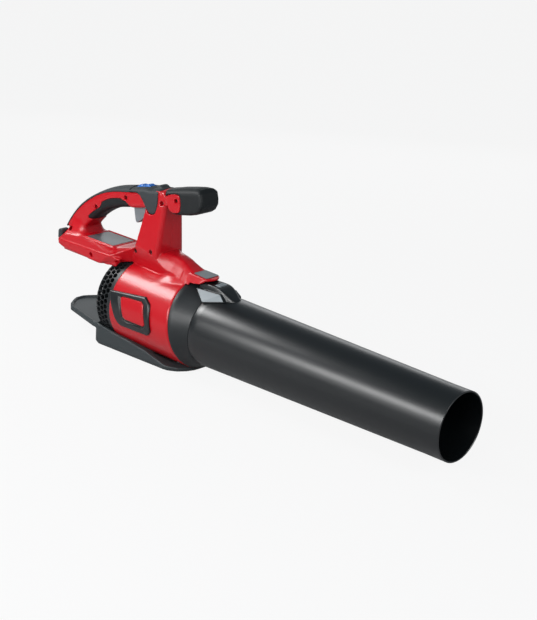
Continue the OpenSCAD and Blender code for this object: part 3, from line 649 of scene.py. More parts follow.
@dataclass
class RedShells:
    """Barrel, battery housing, riser, nose and handle in two moulded halves."""

    step: float = 1.2
    wall: float = 2.6
    seam: float = 0.06
    rear: float = -187.0
    screws: tuple = (
        (-179.9, 144.2, 17.0), (-132.6, 187.4, 17.0), (-70.6, 215.6, 17.0),
        (-114.0, 124.0, 38.0), (-40.0, 146.0, 25.6), (-6.0, 153.0, 28.0),
        (3.2, 224.9, 17.0), (30.7, 234.9, 18.0),
    )

    def outer(self) -> Clay:
        """One side of the outer form, as clay ending at the middle plane."""

        def barrel(x: Grid, y: Grid, z: Grid) -> Grid:
            """Distance to the barrel with its leaning front edge."""
            ends = np.maximum(-49.0 - x, front_edge(x, z))
            return smax(from_axis(y, z) - BARREL_R, ends, 2.2)

        clay = Clay((-192.0, -66.0, -2.4), (106.0, 0.0, 262.0), self.step)
        clay.add(barrel)
        self._housing(clay)
        self._shoulder(clay)
        clay.cut(tube_of(BARREL_R + 0.6, -400, -49.2), 0.6, (-192, -66, -3), (-48, 1, 262))
        self._riser(clay)
        self._nose(clay)
        self._handle(clay)
        return clay

    def _housing(self, clay: Clay) -> None:
        """Adds the battery housing, its rails and the raised rim round the label."""
        clay.add(hull([
            (self.rear, 41.2, 130.5), (self.rear, 40.6, 122.9), (-176, 40.4, 119.2),
            (-99, 40.6, 115.2), (-74, 41.0, 132.9), (-60, 35, 128),
            (self.rear, 22.5, 139.8), (-66, 22.5, 140.4),
        ], 0.8), 0.0, (-192, -50, 95), (-30, 1, 150))
        clay.add(hull([
            (-177, 38.2, 119.5), (-177, 36.0, 110.6), (-177, 33, 109.2), (-100, 38.2, 117),
            (-100, 36.0, 105.6), (-100, 33, 104.0), (-66, 36.4, 124), (-66, 33, 106),
        ], 0.6), 0.0, (-182, -44, 100), (-60, 1, 130))
        clay.add(block((-148.2, -24.4, 136), (-85.0, 24.4, 141.3), 0.8), 0.8,
                 (-156, -30, 134), (-80, 1, 146))

    @staticmethod
    def _flank(x: Grid, y: Grid, z: Grid) -> Grid:
        """Distance to the leaning plane that bounds the shoulder and the riser's foot."""
        root = lookup(x, [-51, 7, 18, 41, 80], [17.0, 19.4, 19.5, 18.6, 18.6])
        return (np.abs(y) - root - lookup(x, [-42, 5], [0.272, 0.30]) * (z - 124.2)) * 0.955

    def _shoulder(self, clay: Clay) -> None:
        """Adds the long facets that narrow from the housing to the barrel's top."""

        def front(x: Grid, y: Grid, z: Grid) -> Grid:
            """Distance to the block under the riser's foot."""
            return common(self._flank(x, y, z), within(x, -52.0, 4.0), within(z, 112.0, 148.0))

        low, high = (-112, -50, 95), (58, 1, 170)
        clay.add(hull([
            (-99, 40.6, 115.2), (-96.5, 40.9, 116.2), (-74, 41.0, 132.9), (-40, 25.2, 151.6),
            (-51.5, 17.2, 124.4), (-80, 22.5, 140.0), (-40, 10, 152.5), (-51.5, 10, 118),
            (-99, 30, 115.2),
        ], 0.7), 0.3, low, high)
        clay.add(front, 0.5, low, high)

    def _riser(self, clay: Clay) -> None:
        """Adds the tapering column under the top bar, down to the shoulder's plane."""
        column = hull([
            (-42.0, 28.3, 136.0), (-2, 29.0, 137.0), (3.4, 28.0, 137.0), (-28.5, 16.6, 198.0),
            (-20.0, 16.3, 240.0), (9.0, 13.0, 222.0), (4.0, 16.3, 222.0), (12.0, 12.0, 238.0),
            (7.0, 16.3, 238.0), (5.6, 22.0, 137.0),
        ], 0.9)
        clay.add(lambda x, y, z: smax(column(x, y, z), self._flank(x, y, z), 0.7), 0.7,
                 (-60, -40, 134), (24, 1, 242))

    def _nose(self, clay: Clay) -> None:
        """Adds the ridge that sweeps off the barrel up to the lip over the tube latch."""
        crest = swept([-8, 5, 14, 31, 43, 54, 64, 72, 90],
                      [154.6, 154.6, 154.9, 153.6, 150.6, 145.0, 140.6, 138.2, 136.6])
        half = swept([-6, 3, 10, 20, 30, 46, 60, 92],
                     [24.5, 22.8, 18.0, 13.6, 12.0, 12.0, 13.2, 13.2], 6.0)
        crown = swept([-8, 50, 64, 90], [1.6, 1.6, 0.3, 0.3])
        reach = swept([-8, 2, 8.5, 18.6, 30, 41, 52, 60, 90],
                      [54, 53, 46.6, 38.8, 34, 31, 28.5, 27, 26], 7.0)

        def saddle(x: Grid, y: Grid, z: Grid) -> Grid:
            """Distance to the ridge over the barrel, with its hollow sides."""
            side, w = np.abs(y), half(x)
            share = 1.0 - np.minimum(smax(side - w, 0.0, 5.0) / (reach(x) - w), 1.0)
            barrel = AXIS - 0.4 + np.sqrt(BARREL_R ** 2 - np.maximum(side, w) ** 2)
            lift = crest(x) - AXIS + 0.4 - np.sqrt(BARREL_R ** 2 - w ** 2)
            lift = (lift - crown(x) * np.minimum(side / w, 1.0) ** 2) * share ** 1.8
            top = (barrel + lift).astype(np.float32)
            along, across = np.gradient(top[:, :, 0], self.step)
            steep = (1.0 / np.sqrt(1.0 + along ** 2 + across ** 2))[:, :, None]
            rise = np.clip((x - 7.0) / 34.0, 0.0, 1.0) ** 1.5
            low = (barrel + rise * lift).astype(np.float32)
            fillet = np.clip((x - 7.0) / 12.0, 0.02, 1.0) * 1.5
            foot = smin(self._flank(x, y, z), (z - low) * steep, fillet)
            ends = common(front_edge(x, z), -8.0 - x, 112.0 - z)
            out = smax(smax((z - top) * steep, foot, 0.6), ends, 0.8)
            return out.astype(np.float32)

        def ahead(x: Grid, y: Grid, z: Grid) -> Grid:
            """Distance to the ridge's end ahead of the barrel, over the collar."""
            side, w = np.abs(y), half(x)
            beyond = smax(side - w, 0.0, 5.0)
            height = crest(x) - crown(x) * np.minimum(side / w, 1.0) ** 2 - 2.0 * beyond
            ridge = (z - height) * lookup(beyond, [0.0, 5.0], [0.9, 0.45])
            seat = 62.6 - np.maximum(x - 59.0, 0) * CONE - from_axis(y, z)
            return common(ridge, within(x, 50.0, 66.0), seat, 124.0 - z)

        lip = hull([
            (66, 14.0, 139.2), (88, 14, 138.4), (94.5, 11.5, 138.2), (98.5, 6.5, 138.0),
            (100.5, 1, 137.9), (100.4, 1, 136.0), (98, 6.5, 135.9), (93, 12.5, 135.4),
            (88.5, 17.0, 132.6), (83, 19.5, 129.0), (66, 20.4, 127.4), (62, 14, 139.2),
            (60, 19.0, 128),
        ], 0.9)
        for shape, blend in ((saddle, 0.5), (ahead, 0.5), (lip, 1.4)):
            clay.add(shape, blend, (-20, -44, 104), (106, 1, 172))

    @staticmethod
    def _core(outer: float, front: float, top: float) -> Shape:
        """Bent core of the handle.

        Args:
            outer: its outer radius.
            front: its front end along the handle.
            top: rounding of its upper edges.

        Returns:
            The core's distance function.
        """

        def distance(x: Grid, y: Grid, z: Grid) -> Grid:
            """Distance to the core."""
            u, r = bent(x, z)
            out = smax(smax(np.abs(y) - 16.8, 147.0 - r, 6.0), r - outer, top)
            return np.maximum(out, within(u, -170.0, front))

        return distance

    def _handle(self, clay: Clay) -> None:
        """Adds the red core of the arched handle, the crest and the knob's patch."""
        crest = bar_slab([(80.2, 150), (80.2, 173.4), (88.8, 173.4), (90.2, 170.5),
                          (93.2, 162), (95.5, 150)], 17.5, 3.2)

        def strip(x: Grid, y: Grid, z: Grid) -> Grid:
            """Distance to the red strip between the dark pieces, crowned on top."""
            return smax(crest(x, y, z), bent(x, z)[1] - 173.2 + 0.016 * y * y, 4.0)

        foot = hull([
            (-186, 30, 136.5), (-186, 16, 148), (-150, 17, 140), (-162, 16, 158), (-180, 16, 160),
            (-158, 26, 138), (-186, 27, 134),
        ], 4.0)
        for shape, blend in (
            (foot, 4.0), (self._core(170.0, 83.0, 1.0), 5.0), (self._core(176.4, 60.0, 3.0), 1.0),
            (strip, 0.6), (bar_slab(KNOB_PATCH, 18.1, 0.8), 0.0),
        ):
            clay.add(shape, blend, (-192, -40, 120), (48, 1, 262))

    def carve(self, clay: Clay) -> None:
        """Hollows the form and cuts its openings; the clay holds both sides by now."""
        outside = clay.field.copy()
        clay.cut(tube_of(BARREL_R + 0.5, -84.0, -49.1), 0.5, (-90, -66, -3), (-48, 66, 262))
        clay.cut(hull([
            (-250, 36.5, 126), (-109, 36.5, 126), (-250, 34.2, 117), (-109, 34.2, 117),
            (-250, 31, 95), (-109, 31, 95),
        ], 0.4), 0.5, (-192, -46, 90), (-100, 46, 140))
        clay.field = np.maximum(clay.field, -(outside + self.wall))
        y, z = clay.axes[1][None, :, None], clay.axes[2][None, None, :]
        for px, pz, half in self.screws:
            near = np.abs(clay.axes[0] - px) < 7, np.abs(clay.axes[2] - pz) < 7
            cut = np.ix_(near[0], np.ones(len(clay.axes[1]), bool), near[1])
            x = clay.axes[0][near[0]][:, None, None]
            boss = rod((px, pz), 5.0, -half, half)(x, y, z[:, :, near[1]])
            clay.field[cut] = np.minimum(clay.field[cut], np.maximum(boss, outside[cut]))
        clay.add(block((-148, -24, 135.8), (-85, 24, 139.9)), 0.0,
                 (-149, -25, 134), (-84, 25, 140.5))
        clay.cut(tube_of(BARREL_R - self.wall, -80, 120))
        for shape, blend, low, high in (
            (self._ahead_of_barrel, 0.0, (40, -66, 0), (106, 66, 128)),
            (block((56, -14.2, 100), (120, 14.2, 134.0), 1.0), 0.4,
             (50, -30, 100), (106, 30, 140)),
            (block((-250, -12.5, 120), (-179.5, 12.5, 137.2)), 0.3,
             (-192, -20, 110), (-176, 20, 140)),
            (block((-400, -60, 0), (self.rear, 60, 143.0)), 1.0,
             (-192, -66, 90), (-184, 66, 150)),
            (block((-145.2, -21.8, 139.9), (-87.6, 21.8, 150), 0.6), 0.4,
             (-150, -24, 134), (-84, 24, 150)),
            (bar_slab([(3, 129), (3, 165), (46, 165), (46, 138), (37, 129)], 6.7, 0.3), 0.4,
             (-80, -10, 170), (0, 10, 240)),
            (BUTTON_WELL, 0.3, (-90, -12, 210), (10, 12, 262)),
            (self._insert_bed, 0.5, (-170, -20, 150), (-40, 20, 225)),
            (self._spine_bed, 0.0, (-192, -42, 138), (-10, 42, 262)),
            (self._saddle_bed, 0.0, (-64, -42, 184), (10, 42, 262)),
        ):
            clay.cut(shape, blend, low, high)
        for px, pz, half in self.screws:
            clay.cut(rod((px, pz), 3.2, -60, -half + 6.0), 0.5,
                     (px - 6, -60, pz - 6), (px + 6, -half + 9, pz + 6))

    @staticmethod
    def _ahead_of_barrel(x: Grid, y: Grid, z: Grid) -> Grid:
        """Distance to the round space ahead of the barrel, where the collar sits."""
        front = FRONT - PITCH * (z - AXIS) - x
        return np.maximum(from_axis(y, z) - (BARREL_R + 0.25), front)

    @staticmethod
    def _insert_bed(x: Grid, y: Grid, z: Grid) -> Grid:
        """Distance to the space of the soft insert under the handle."""
        u, r = bent(x, z)
        shell = smax(np.abs(y) - 14.2, 150.0 - r, 3.0)
        return common(r - insert_edge(u), insert_ends(u, r, -87.5, 17.5), -shell)

    @staticmethod
    def _spine_bed(x: Grid, y: Grid, z: Grid) -> Grid:
        """Distance to the space above the red core that the spine and saddle fill."""
        u, r = bent(x, z)
        return np.maximum(spine_edge(u) + 0.1 - r, u - 82.2)

    @staticmethod
    def _saddle_bed(x: Grid, y: Grid, z: Grid) -> Grid:
        """Distance to the recess at both sides of the top bar that the saddle fills."""
        ring = [bar_point(a, b) for a, b in SADDLE]
        return np.maximum(outline_distance(ring, x, z), 17.2 - np.abs(y))

    def fasteners(self) -> None:
        """Makes the housing screws, each with a six-lobed socket in its head."""
        verts: list[Point] = []
        faces: Faces = []
        n = 24
        turns = [2 * math.pi * i / n for i in range(n)]
        lobes = [1.35 + 0.17 * math.cos(6 * a) for a in turns]
        for px, pz, half in self.screws:
            top = -half + 3.6
            loops = (
                (half - 6.0, [1.6] * n), (top + 2.4, [1.6] * n), (top + 2.4, [3.0] * n),
                (top + 0.5, [3.0] * n), (top, [2.5] * n), (top, lobes), (top + 1.3, lobes),
            )
            start, rows = len(verts), len(loops)
            for y, radii in loops:
                verts += [(px + r * math.cos(a), y, pz + r * math.sin(a))
                          for r, a in zip(radii, turns)]
            faces += loft_faces(n, rows, start)
            faces.append(range(start + n - 1, start - 1, -1))
            faces.append(range(start + n * (rows - 1), start + n * rows))
        place(mesh_object("housing_screw_set", verts, faces, 35.0), SCREW, "housing_screws")

    def build(self) -> None:
        """Makes both halves and their screws."""
        clay = self.outer()
        clay.mirror()
        self.carve(clay)
        for side in Side:
            name = side.name.lower()
            shell = mesh_object(f"shell_{name}", *clay.half(side, self.seam), 50.0)
            place(shell, RED, f"{name}_shell")
        self.fasteners()


@dataclass
class HandleTrim:
    """Dark overmoulds of the handle, and the forward knob."""

    step: float = 0.9

    def spine(self) -> None:
        """Dark spine along the top of the handle."""
        clay = Clay((-196, -18.9, 138), (-20, 18.9, 247), self.step)

        def body(x: Grid, y: Grid, z: Grid) -> Grid:
            """Spine with a crowned top and its lower edge rising to the rear."""
            u, r = bent(x, z)
            bow = lookup(u, [-90, -30], [0.002, 0.012])
            crown = smax(r - 177.2 + bow * y * y, np.abs(y) - 17.2, 3.4)
            ends = np.maximum(142.4 - z, u - 19.7)
            return smax(smax(crown, spine_edge(u) - r, 0.9), ends, 0.9)

        clay.add(body)
        clay_piece("handle_spine_cover", clay, SOFT, "handle_spine")

    def insert(self) -> None:
        """Soft insert lining the underside of the handle."""
        clay = Clay((-160, -18.9, 150), (-40, 18.9, 222), self.step)

        def body(x: Grid, y: Grid, z: Grid) -> Grid:
            """Lining with finger-side cheeks."""
            u, r = bent(x, z)
            hollow = smax(np.abs(y) - 14.0, 150.2 - r, 3.0)
            skin = smax(np.abs(y) - 17.2, 146.9 - r, 10.0)
            return common(skin, r - insert_edge(u) + 0.3, insert_ends(u, r, -87.0, 16.8), -hollow)

        clay.add(body)
        clay_piece("grip_lining", clay, GRIP, "grip_insert")

    def saddle(self) -> None:
        """Dark collar that straddles the top bar round the boost button."""
        clay = Clay((-64, -21.6, 184), (4, 21.6, 251), self.step)
        side = bar_slab(SADDLE, 19.4, 3.0)

        def body(x: Grid, y: Grid, z: Grid) -> Grid:
            """Distance to the collar with its crowned top."""
            u, r = bent(x, z)
            top = lookup(u, [50, 56, 63.5, 82], [177.0, 176.2, 174.4, 174.0])
            return smax(side(x, y, z), r - top + 0.011 * y * y, 4.0)

        clay.add(body)
        clay.cut(bar_box((0, 120), (100, 168.9), 17.1))
        clay.cut(BUTTON_WELL, 0.8)
        clay.add(rod(bar_point(71.5, 170.2), 7.8, -9.0, 9.0, 4.0), 0.6)
        clay.cut(bar_box((82.2, 130), (100, 200), 40.0))
        clay_piece("switch_saddle", clay, SOFT, "switch_collar")

    def knob(self) -> None:
        """Forward knob, wrapped round the crest's red patch."""
        clay = Clay((-8, -19.8, 210), (86, 19.8, 262), self.step)
        side = bar_slab([
            (95.4, 149), (92.4, 164), (90.6, 172.0), (91.8, 173.8), (106, 174.4),
            (114, 175.6), (134, 175.8), (150, 174.8), (158, 172.0), (162.2, 166.4),
            (162.6, 156), (161, 148.5), (155, 141.5), (148, 138.4), (136, 137.4),
            (118, 137.6), (106, 138.6), (99.5, 140.4),
        ], 18.2, 5.0)
        patch = bar_slab(KNOB_PATCH, 40.0, 0.0)

        def body(x: Grid, y: Grid, z: Grid) -> Grid:
            """Distance to the knob with its crowned top."""
            up = (z - ARC_Z) * COS - (x - ARC_X) * SIN
            return smax(side(x, y, z), up - 176.4 + 0.022 * y * y, 5.0)

        clay.add(body)
        for low, high in ((-20, -13.2), (13.2, 20)):
            clay.cut(lambda x, y, z: patch(x, y, z) - 0.7, 0.6, (-8, low, 210), (66, high, 262))
        clay.cut(bar_box((97, 148), (148, 164), 13.0, 2.0), 0.4)
        clay_piece("forward_knob", clay, GRIP, "knob_grip")

    def build(self) -> None:
        """Makes every overmould."""
        self.spine()
        self.insert()
        self.saddle()
        self.knob()


@dataclass
class Controls:
    """Trigger, boost button and battery latch."""

    def trigger(self) -> None:
        """Trigger with a hollowed front and rounded edges."""
        clay = Clay((-68, -7.2, 176), (-18, 7.2, 222), 0.6)
        clay.add(bar_slab([
            (12.6, 157), (12.4, 136), (12.4, 127.6), (13.8, 124.4), (16.4, 123.9),
            (35.6, 133.2), (37.2, 138.5), (40.4, 146.5), (41.4, 151), (38.5, 155), (31, 157),
        ], 6.0, 1.6))
        clay.cut(rod(bar_point(37.0, 151.0), 2.05, -9, 9))
        clay_piece("trigger_blade", clay, PALE, "trigger", body=Body.TRIGGER)

    def turbo(self) -> None:
        """Boost button with two low lobes."""
        clay = Clay((-62, -8, 226), (-6, 8, 250), 0.5)
        clay.add(bar_box((25.2, 52.8), (173, 176.8), 7.0, 1.6))
        for along in (32.0, 46.0):
            clay.add(rod(bar_point(along, 170.8), 8.4, -5.6, 5.6, 2.4), 1.0)
        limits = bar_box((25.2, 52.8), (173, 190), 7.0, 1.2)
        clay.cut(lambda x, y, z: -limits(x, y, z))
        clay_piece("boost_button", clay, BLUE, "turbo_button", body=Body.TURBO)

    def latch(self) -> None:
        """Ribbed battery latch behind the housing."""
        clay = Clay((-199.5, -34.5, 120), (-178, 34.5, 144), 0.8)
        clay.add(hull([
            (-198, 31.5, 128), (-195.5, 33, 126), (-187.4, 33, 126), (-187.4, 33, 141.8),
            (-194, 33, 141.8), (-198, 31.5, 138),
        ], 1.0))
        clay.cut(block((-200, -19.3, 137.9), (-180, 19.3, 150), 0.5), 1.2)
        clay.add(block((-188, -12, 122.6), (-180.2, 12, 129.0), 0.6), 0.4)
        for y in (-27.0, 27.0):
            clay.cut(block((-200, y - 4.0, 130), (-197.0, y + 4.0, 137), 0.5), 0.4)
        clay_piece("battery_latch_bar", clay, SOFT, "battery_latch", body=Body.LATCH)

    def build(self) -> None:
        """Makes every control."""
        self.trigger()
        self.turbo()
        self.latch()


@dataclass
class BlowerTube:
    """Tapered tube with its latch block, painted highlights on the block's sides, and release
    button.
    """

    seat: float = 101.0
    outlet: float = 520.0
    land: float = 490.0
    root_r: float = 53.1
    outlet_r: float = 46.5
    wall: float = 2.2
    mould_line: float = 0.16

    def radius(self, x: float) -> float:
        """Outside radius of the tube at a place along it."""
        if x > self.land:
            return self.outlet_r
        share = (x - self.seat) / (self.land - self.seat)
        return self.root_r + (self.outlet_r - self.root_r) * share

    def tube(self) -> None:
        """The tube, with rounded lips and a faint mould line along each side."""
        outer = [self.seat + 0.1, self.seat + 0.5, self.seat + 1.2,
                 *np.linspace(self.seat + 12, self.land, 26), 505.0, 518.6, 519.5]
        sink = {0: 0.7, 1: 0.25}
        loop = [(x, self.radius(x) - sink.get(i, 0.0)) for i, x in enumerate(outer)]
        bore = self.outlet_r - self.wall
        loop += [(self.outlet - 0.1, self.outlet_r - 0.3), (self.outlet, self.outlet_r - 0.8),
                 (self.outlet, bore + 0.5), (self.outlet - 0.4, bore + 0.1)]
        inner = [510.0, *np.linspace(self.land, self.seat + 2, 14), self.seat + 0.1]
        loop += [(x, self.radius(x) - self.wall) for x in inner]
        verts, faces = lathe(loop, 144)
        for i, (x, y, z) in enumerate(verts):
            r = math.hypot(y, z - AXIS)
            at_side = abs(math.atan2(z - AXIS, abs(y))) < 0.004
            if at_side and r > self.radius(x) - 0.1 and self.seat + 10 < x < 510:
                verts[i] = (x, y * (1 + self.mould_line / r), z)
        place(mesh_object("tapered_tube", verts, faces, 35.0), TUBE, "blower_tube",
              body=Body.TUBE)

    def latch_block(self) -> None:
        """Domed block at the top of the tube that locks under the nose."""
        clay = Clay((78, -34, 104), (150, 34, 136), 0.8)
        clay.add(hull([
            (80, 11.9, 131.6), (113, 13.6, 132.2), (118, 13.4, 131.4), (126, 12.4, 127.8),
            (131, 11.6, 124.4), (136, 10.4, 120.2), (143, 8.0, 116.4), (147, 6.0, 114.8),
            (80, 16.0, 122.0), (118, 16.0, 121.0), (131, 15.0, 114.0), (143, 10.0, 110.0),
            (80, 14, 106), (140, 8, 106),
        ], 2.6))
        clay.add(hull([
            (79.5, 18.9, 123.3), (123.0, 15.6, 124.6), (131.6, 17.6, 116.6),
            (103.2, 31.2, 111.6), (79.5, 10, 116), (123, 10, 116), (131, 10, 108),
            (103, 22, 104),
        ], 0.5), 1.0)

        def seat(x: Grid, y: Grid, z: Grid) -> Grid:
            """Room for the collar's cone behind the tube, and the tube itself."""
            cone = 62.1 - (x - FRONT + PITCH * (z - AXIS)) * CONE
            tube = self.root_r - (x - self.seat) * 0.017 - 1.0
            return from_axis(y, z) - np.where(
                x < self.seat + 0.6, np.minimum(np.maximum(cone, 53.7), 62.2), tube)

        clay.cut(seat)
        clay.cut(block((103.6, -7.9, 121), (113.4, 7.9, 140), 1.0), 0.4)
        clay_piece("tube_latch_block", clay, TUBE, body=Body.TUBE, sharp=55.0)

    def facet_highlights(self) -> None:
        """Painted highlights: pale sheets laid on the block's sloping sides in place of the key
        light's reflection, each folded along one diagonal.
        """
        # pale grey sheet that paints the key light's highlight on each sloping side of the dark
        # block
        corners = [(81.0, 18.7, 123.0), (122.2, 15.9, 124.2), (130.4, 17.6, 117.0),
                   (103.2, 30.4, 112.2)]
        for side in Side:
            pts = [Vector((x, side.value * y, z)) for x, y, z in corners]
            out = Vector((0.03, side.value * 0.66, 0.75)).normalized()
            verts = [(p + out * lift)[:] for lift in (-1.4, 0.55) for p in pts]
            faces = [(0, 3, 1), (1, 3, 2), (4, 5, 7), (5, 6, 7), *loft_faces(4, 2)]
            name = f"block_facet_{side.name.lower()}"
            place(mesh_object(name, verts, faces, 20.0), PALE, body=Body.TUBE)

    def release(self) -> None:
        """Release button let into the block."""
        clay = Clay((102.4, -8.8, 124.4), (114.6, 8.8, 134.6), 0.4)
        clay.add(block((104.1, -7.4, 125.7), (112.9, 7.4, 132.4), 0.8))
        for x in (106.4, 108.5, 110.6):
            clay.cut(block((x - 0.35, -5.5, 132.0), (x + 0.35, 5.5, 140)), 0.3)
        clay_piece("release_pad", clay, PALE, "tube_release_button", body=Body.TUBE_BUTTON)

    def build(self) -> None:
        """Makes the tube and what is on it."""
        self.tube()
        self.latch_block()
        self.facet_highlights()
        self.release()


@dataclass
class FrontCollar:
    """Dark cone between the barrel and the tube."""

    segments: int = 144

    def build(self) -> None:
        """Lofts the collar from its leaning rear edge to its upright front edge."""
        loop = [
            (0.0, 61.0), (0.012, 61.55), (0.03, 61.6), (0.16, 61.1), (0.2, 60.55),
            (0.24, 60.0), (0.5, 57.2), (0.75, 54.9), (0.95, 53.25), (0.985, 52.9), (1.0, 52.4),
            (1.0, 50.3), (0.9, 50.0), (0.0, 56.5),
        ]
        verts = []
        for s in range(self.segments):
            a = 2 * math.pi * s / self.segments
            for share, r in loop:
                z = r * math.sin(a)
                rear = FRONT - PITCH * z
                verts.append((rear + (100.7 - rear) * share + 0.1, r * math.cos(a), AXIS + z))
        faces = loft_faces(len(loop), self.segments, closed=True)
        place(mesh_object("collar_cone", verts, faces, 24.0), COLLAR)
        spigot = [(96.8, 48.6), (139.0, 48.6), (139.0, 49.4), (138.2, 49.95), (101.5, 50.58),
                  (96.8, 50.3)]
        place(mesh_object("collar_spigot", *lathe(spigot, 128), 30.0), COLLAR, "front_collar")


@dataclass
class Grille:
    """Honeycomb cage over the fan's intake."""

    radius: float = 60.6
    wall: float = 4.2
    front: float = -49.2
    length: float = 33.6
    corner: float = 9.0
    around: int = 48
    rows: int = 5
    open_share: float = 0.85

    def _at(self, u: float, s: float, depth: float = 0.0) -> tuple[float, float, float]:
        """Place on the cage.

        Args:
            u: turn about the axis.
            s: length along the profile from the barrel's edge.
            depth: depth below the skin.

        Returns:
            The place in millimetres.
        """
        flat = self.length - self.corner
        turn = min(max(s - flat, 0.0) / self.corner, math.pi / 2)
        x = self.front - min(s, flat) - (self.corner - depth) * math.sin(turn)
        r = self.radius - self.corner + (self.corner - depth) * math.cos(turn)
        r -= max(0.0, s - flat - self.corner * math.pi / 2)
        return x, r * math.cos(u), AXIS + r * math.sin(u)

    def side(self) -> float:
        """Makes the side, rows of six-sided holes between plain rims.

        Returns:
            Radius of the opening that it leaves at the rear.
        """
        turn = 2 * math.pi / self.around
        edge = turn * self.radius / math.sqrt(3)
        row = 1.5 * edge
        top = 4.6
        bottom = top + row * self.rows - row + 2 * edge
        seen: dict[tuple, int] = {}
        verts: list[Point] = []
        faces: dict[frozenset, list] = {}

        def face(*points: Point) -> None:
            """Face through places on the cage, left out when it has no area."""
            ring = []
            for p in points:
                spot = self._at(*p)
                n = seen.setdefault(tuple(round(c, 3) for c in spot), len(verts))
                if n == len(verts):
                    verts.append(spot)
                if n not in ring:
                    ring.append(n)
            if len(ring) > 2:
                faces.setdefault(frozenset(ring), ring)

        for level, i in product(range(self.rows), range(self.around)):
            cu, cs = (i + 0.5 * (level % 2)) * turn, top + edge + row * level
            hexagon = [(cu + turn / math.sqrt(3) * math.sin(a), cs - edge * math.cos(a))
                       for a in (k * math.pi / 3 for k in range(6))]
            hole = [(cu + (u - cu) * self.open_share, cs + (s - cs) * self.open_share)
                    for u, s in hexagon]
            for k in range(6):
                m = (k + 1) % 6
                for depth in (0.0, self.wall):
                    face(*((*p, depth) for p in (hexagon[k], hexagon[m], hole[m], hole[k])))
                face((*hole[m], 0.0), (*hole[k], 0.0), (*hole[k], self.wall),
                     (*hole[m], self.wall))
            for at_level, far, sign in ((0, top, -1), (self.rows - 1, bottom, 1)):
                for depth, hand in product((0.0, self.wall), (-1, 1)):
                    if level == at_level:
                        u = cu + hand * turn / 2
                        face((u, cs + sign * edge / 2, depth), (cu, cs + sign * edge, depth),
                             (u, far, depth))
        for i in range(self.around * 2):
            u0, u1 = i / 2 * turn, (i + 1) / 2 * turn
            for ends in ((0.0, 2.4, top), (bottom + 4.4, bottom + 2.2, bottom)):
                for s0, s1 in zip(ends, ends[1:]):
                    for depth in (0.0, self.wall):
                        face((u0, s0, depth), (u1, s0, depth), (u1, s1, depth), (u0, s1, depth))
                face((u0, ends[0], 0.0), (u1, ends[0], 0.0), (u1, ends[0], self.wall),
                     (u0, ends[0], self.wall))
        cage = mesh_object("cage_side", verts, list(faces.values()), 30.0)
        place(cage, GRILLE, "intake_grille")
        return self._at(0.0, bottom + 4.4)[1]

    def _discs(
        self, name: str, middles: Sequence[Point], radius: float, depth: float, corners: int
    ) -> bpy.types.Object:
        """Flat discs that face along the fan's axis.

        Args:
            name: the object's name.
            middles: middle of each disc.
            radius: their radius.
            depth: their thickness.
            corners: corners round each one.

        Returns:
            The linked object.
        """
        turns = [2 * math.pi * i / corners for i in range(corners)]
        verts, faces = [], []
        for x, y, z in middles:
            start = len(verts)
            verts += [(x + end, y + radius * math.sin(a), z + radius * math.cos(a))
                      for end in (-depth / 2, depth / 2) for a in turns]
            faces += [range(start, start + corners),
                      range(start + corners, start + 2 * corners),
                      *loft_faces(corners, 2, start)]
        return mesh_object(name, verts, faces, 30.0)

    def rear(self, radius: float) -> None:
        """Flat honeycomb disc of the given radius that closes the cage."""
        back = self.front - self.length
        pitch = 8.2
        row = pitch * math.sqrt(3) / 2
        size = pitch / math.sqrt(3) * self.open_share
        reach = int(radius / row) + 1
        lattice = [(pitch * (i + 0.5 * (j % 2)), row * j)
                   for j, i in product(range(-reach, reach + 1), repeat=2)]
        middles = [(back, y, AXIS + z) for y, z in lattice if math.hypot(y, z) <= radius - 6.0]
        disc = self._discs("cage_rear", [(back + self.wall / 2, 0.0, AXIS)], radius, self.wall, 96)
        holes = self._discs("cage_rear_holes", middles, size, 8.0, 6)
        cut = disc.modifiers.new("cut", "BOOLEAN")
        cut.operation, cut.solver, cut.object = "DIFFERENCE", "EXACT", holes
        graph = bpy.context.evaluated_depsgraph_get()
        mesh = bpy.data.meshes.new_from_object(disc.evaluated_get(graph))
        disc.modifiers.clear()
        disc.data = mesh
        bpy.data.objects.remove(holes, do_unlink=True)
        finish_normals(disc, 30.0)
        place(disc, GRILLE)

    def build(self) -> None:
        """Makes the side and the rear."""
        self.rear(self.side() + 0.2)


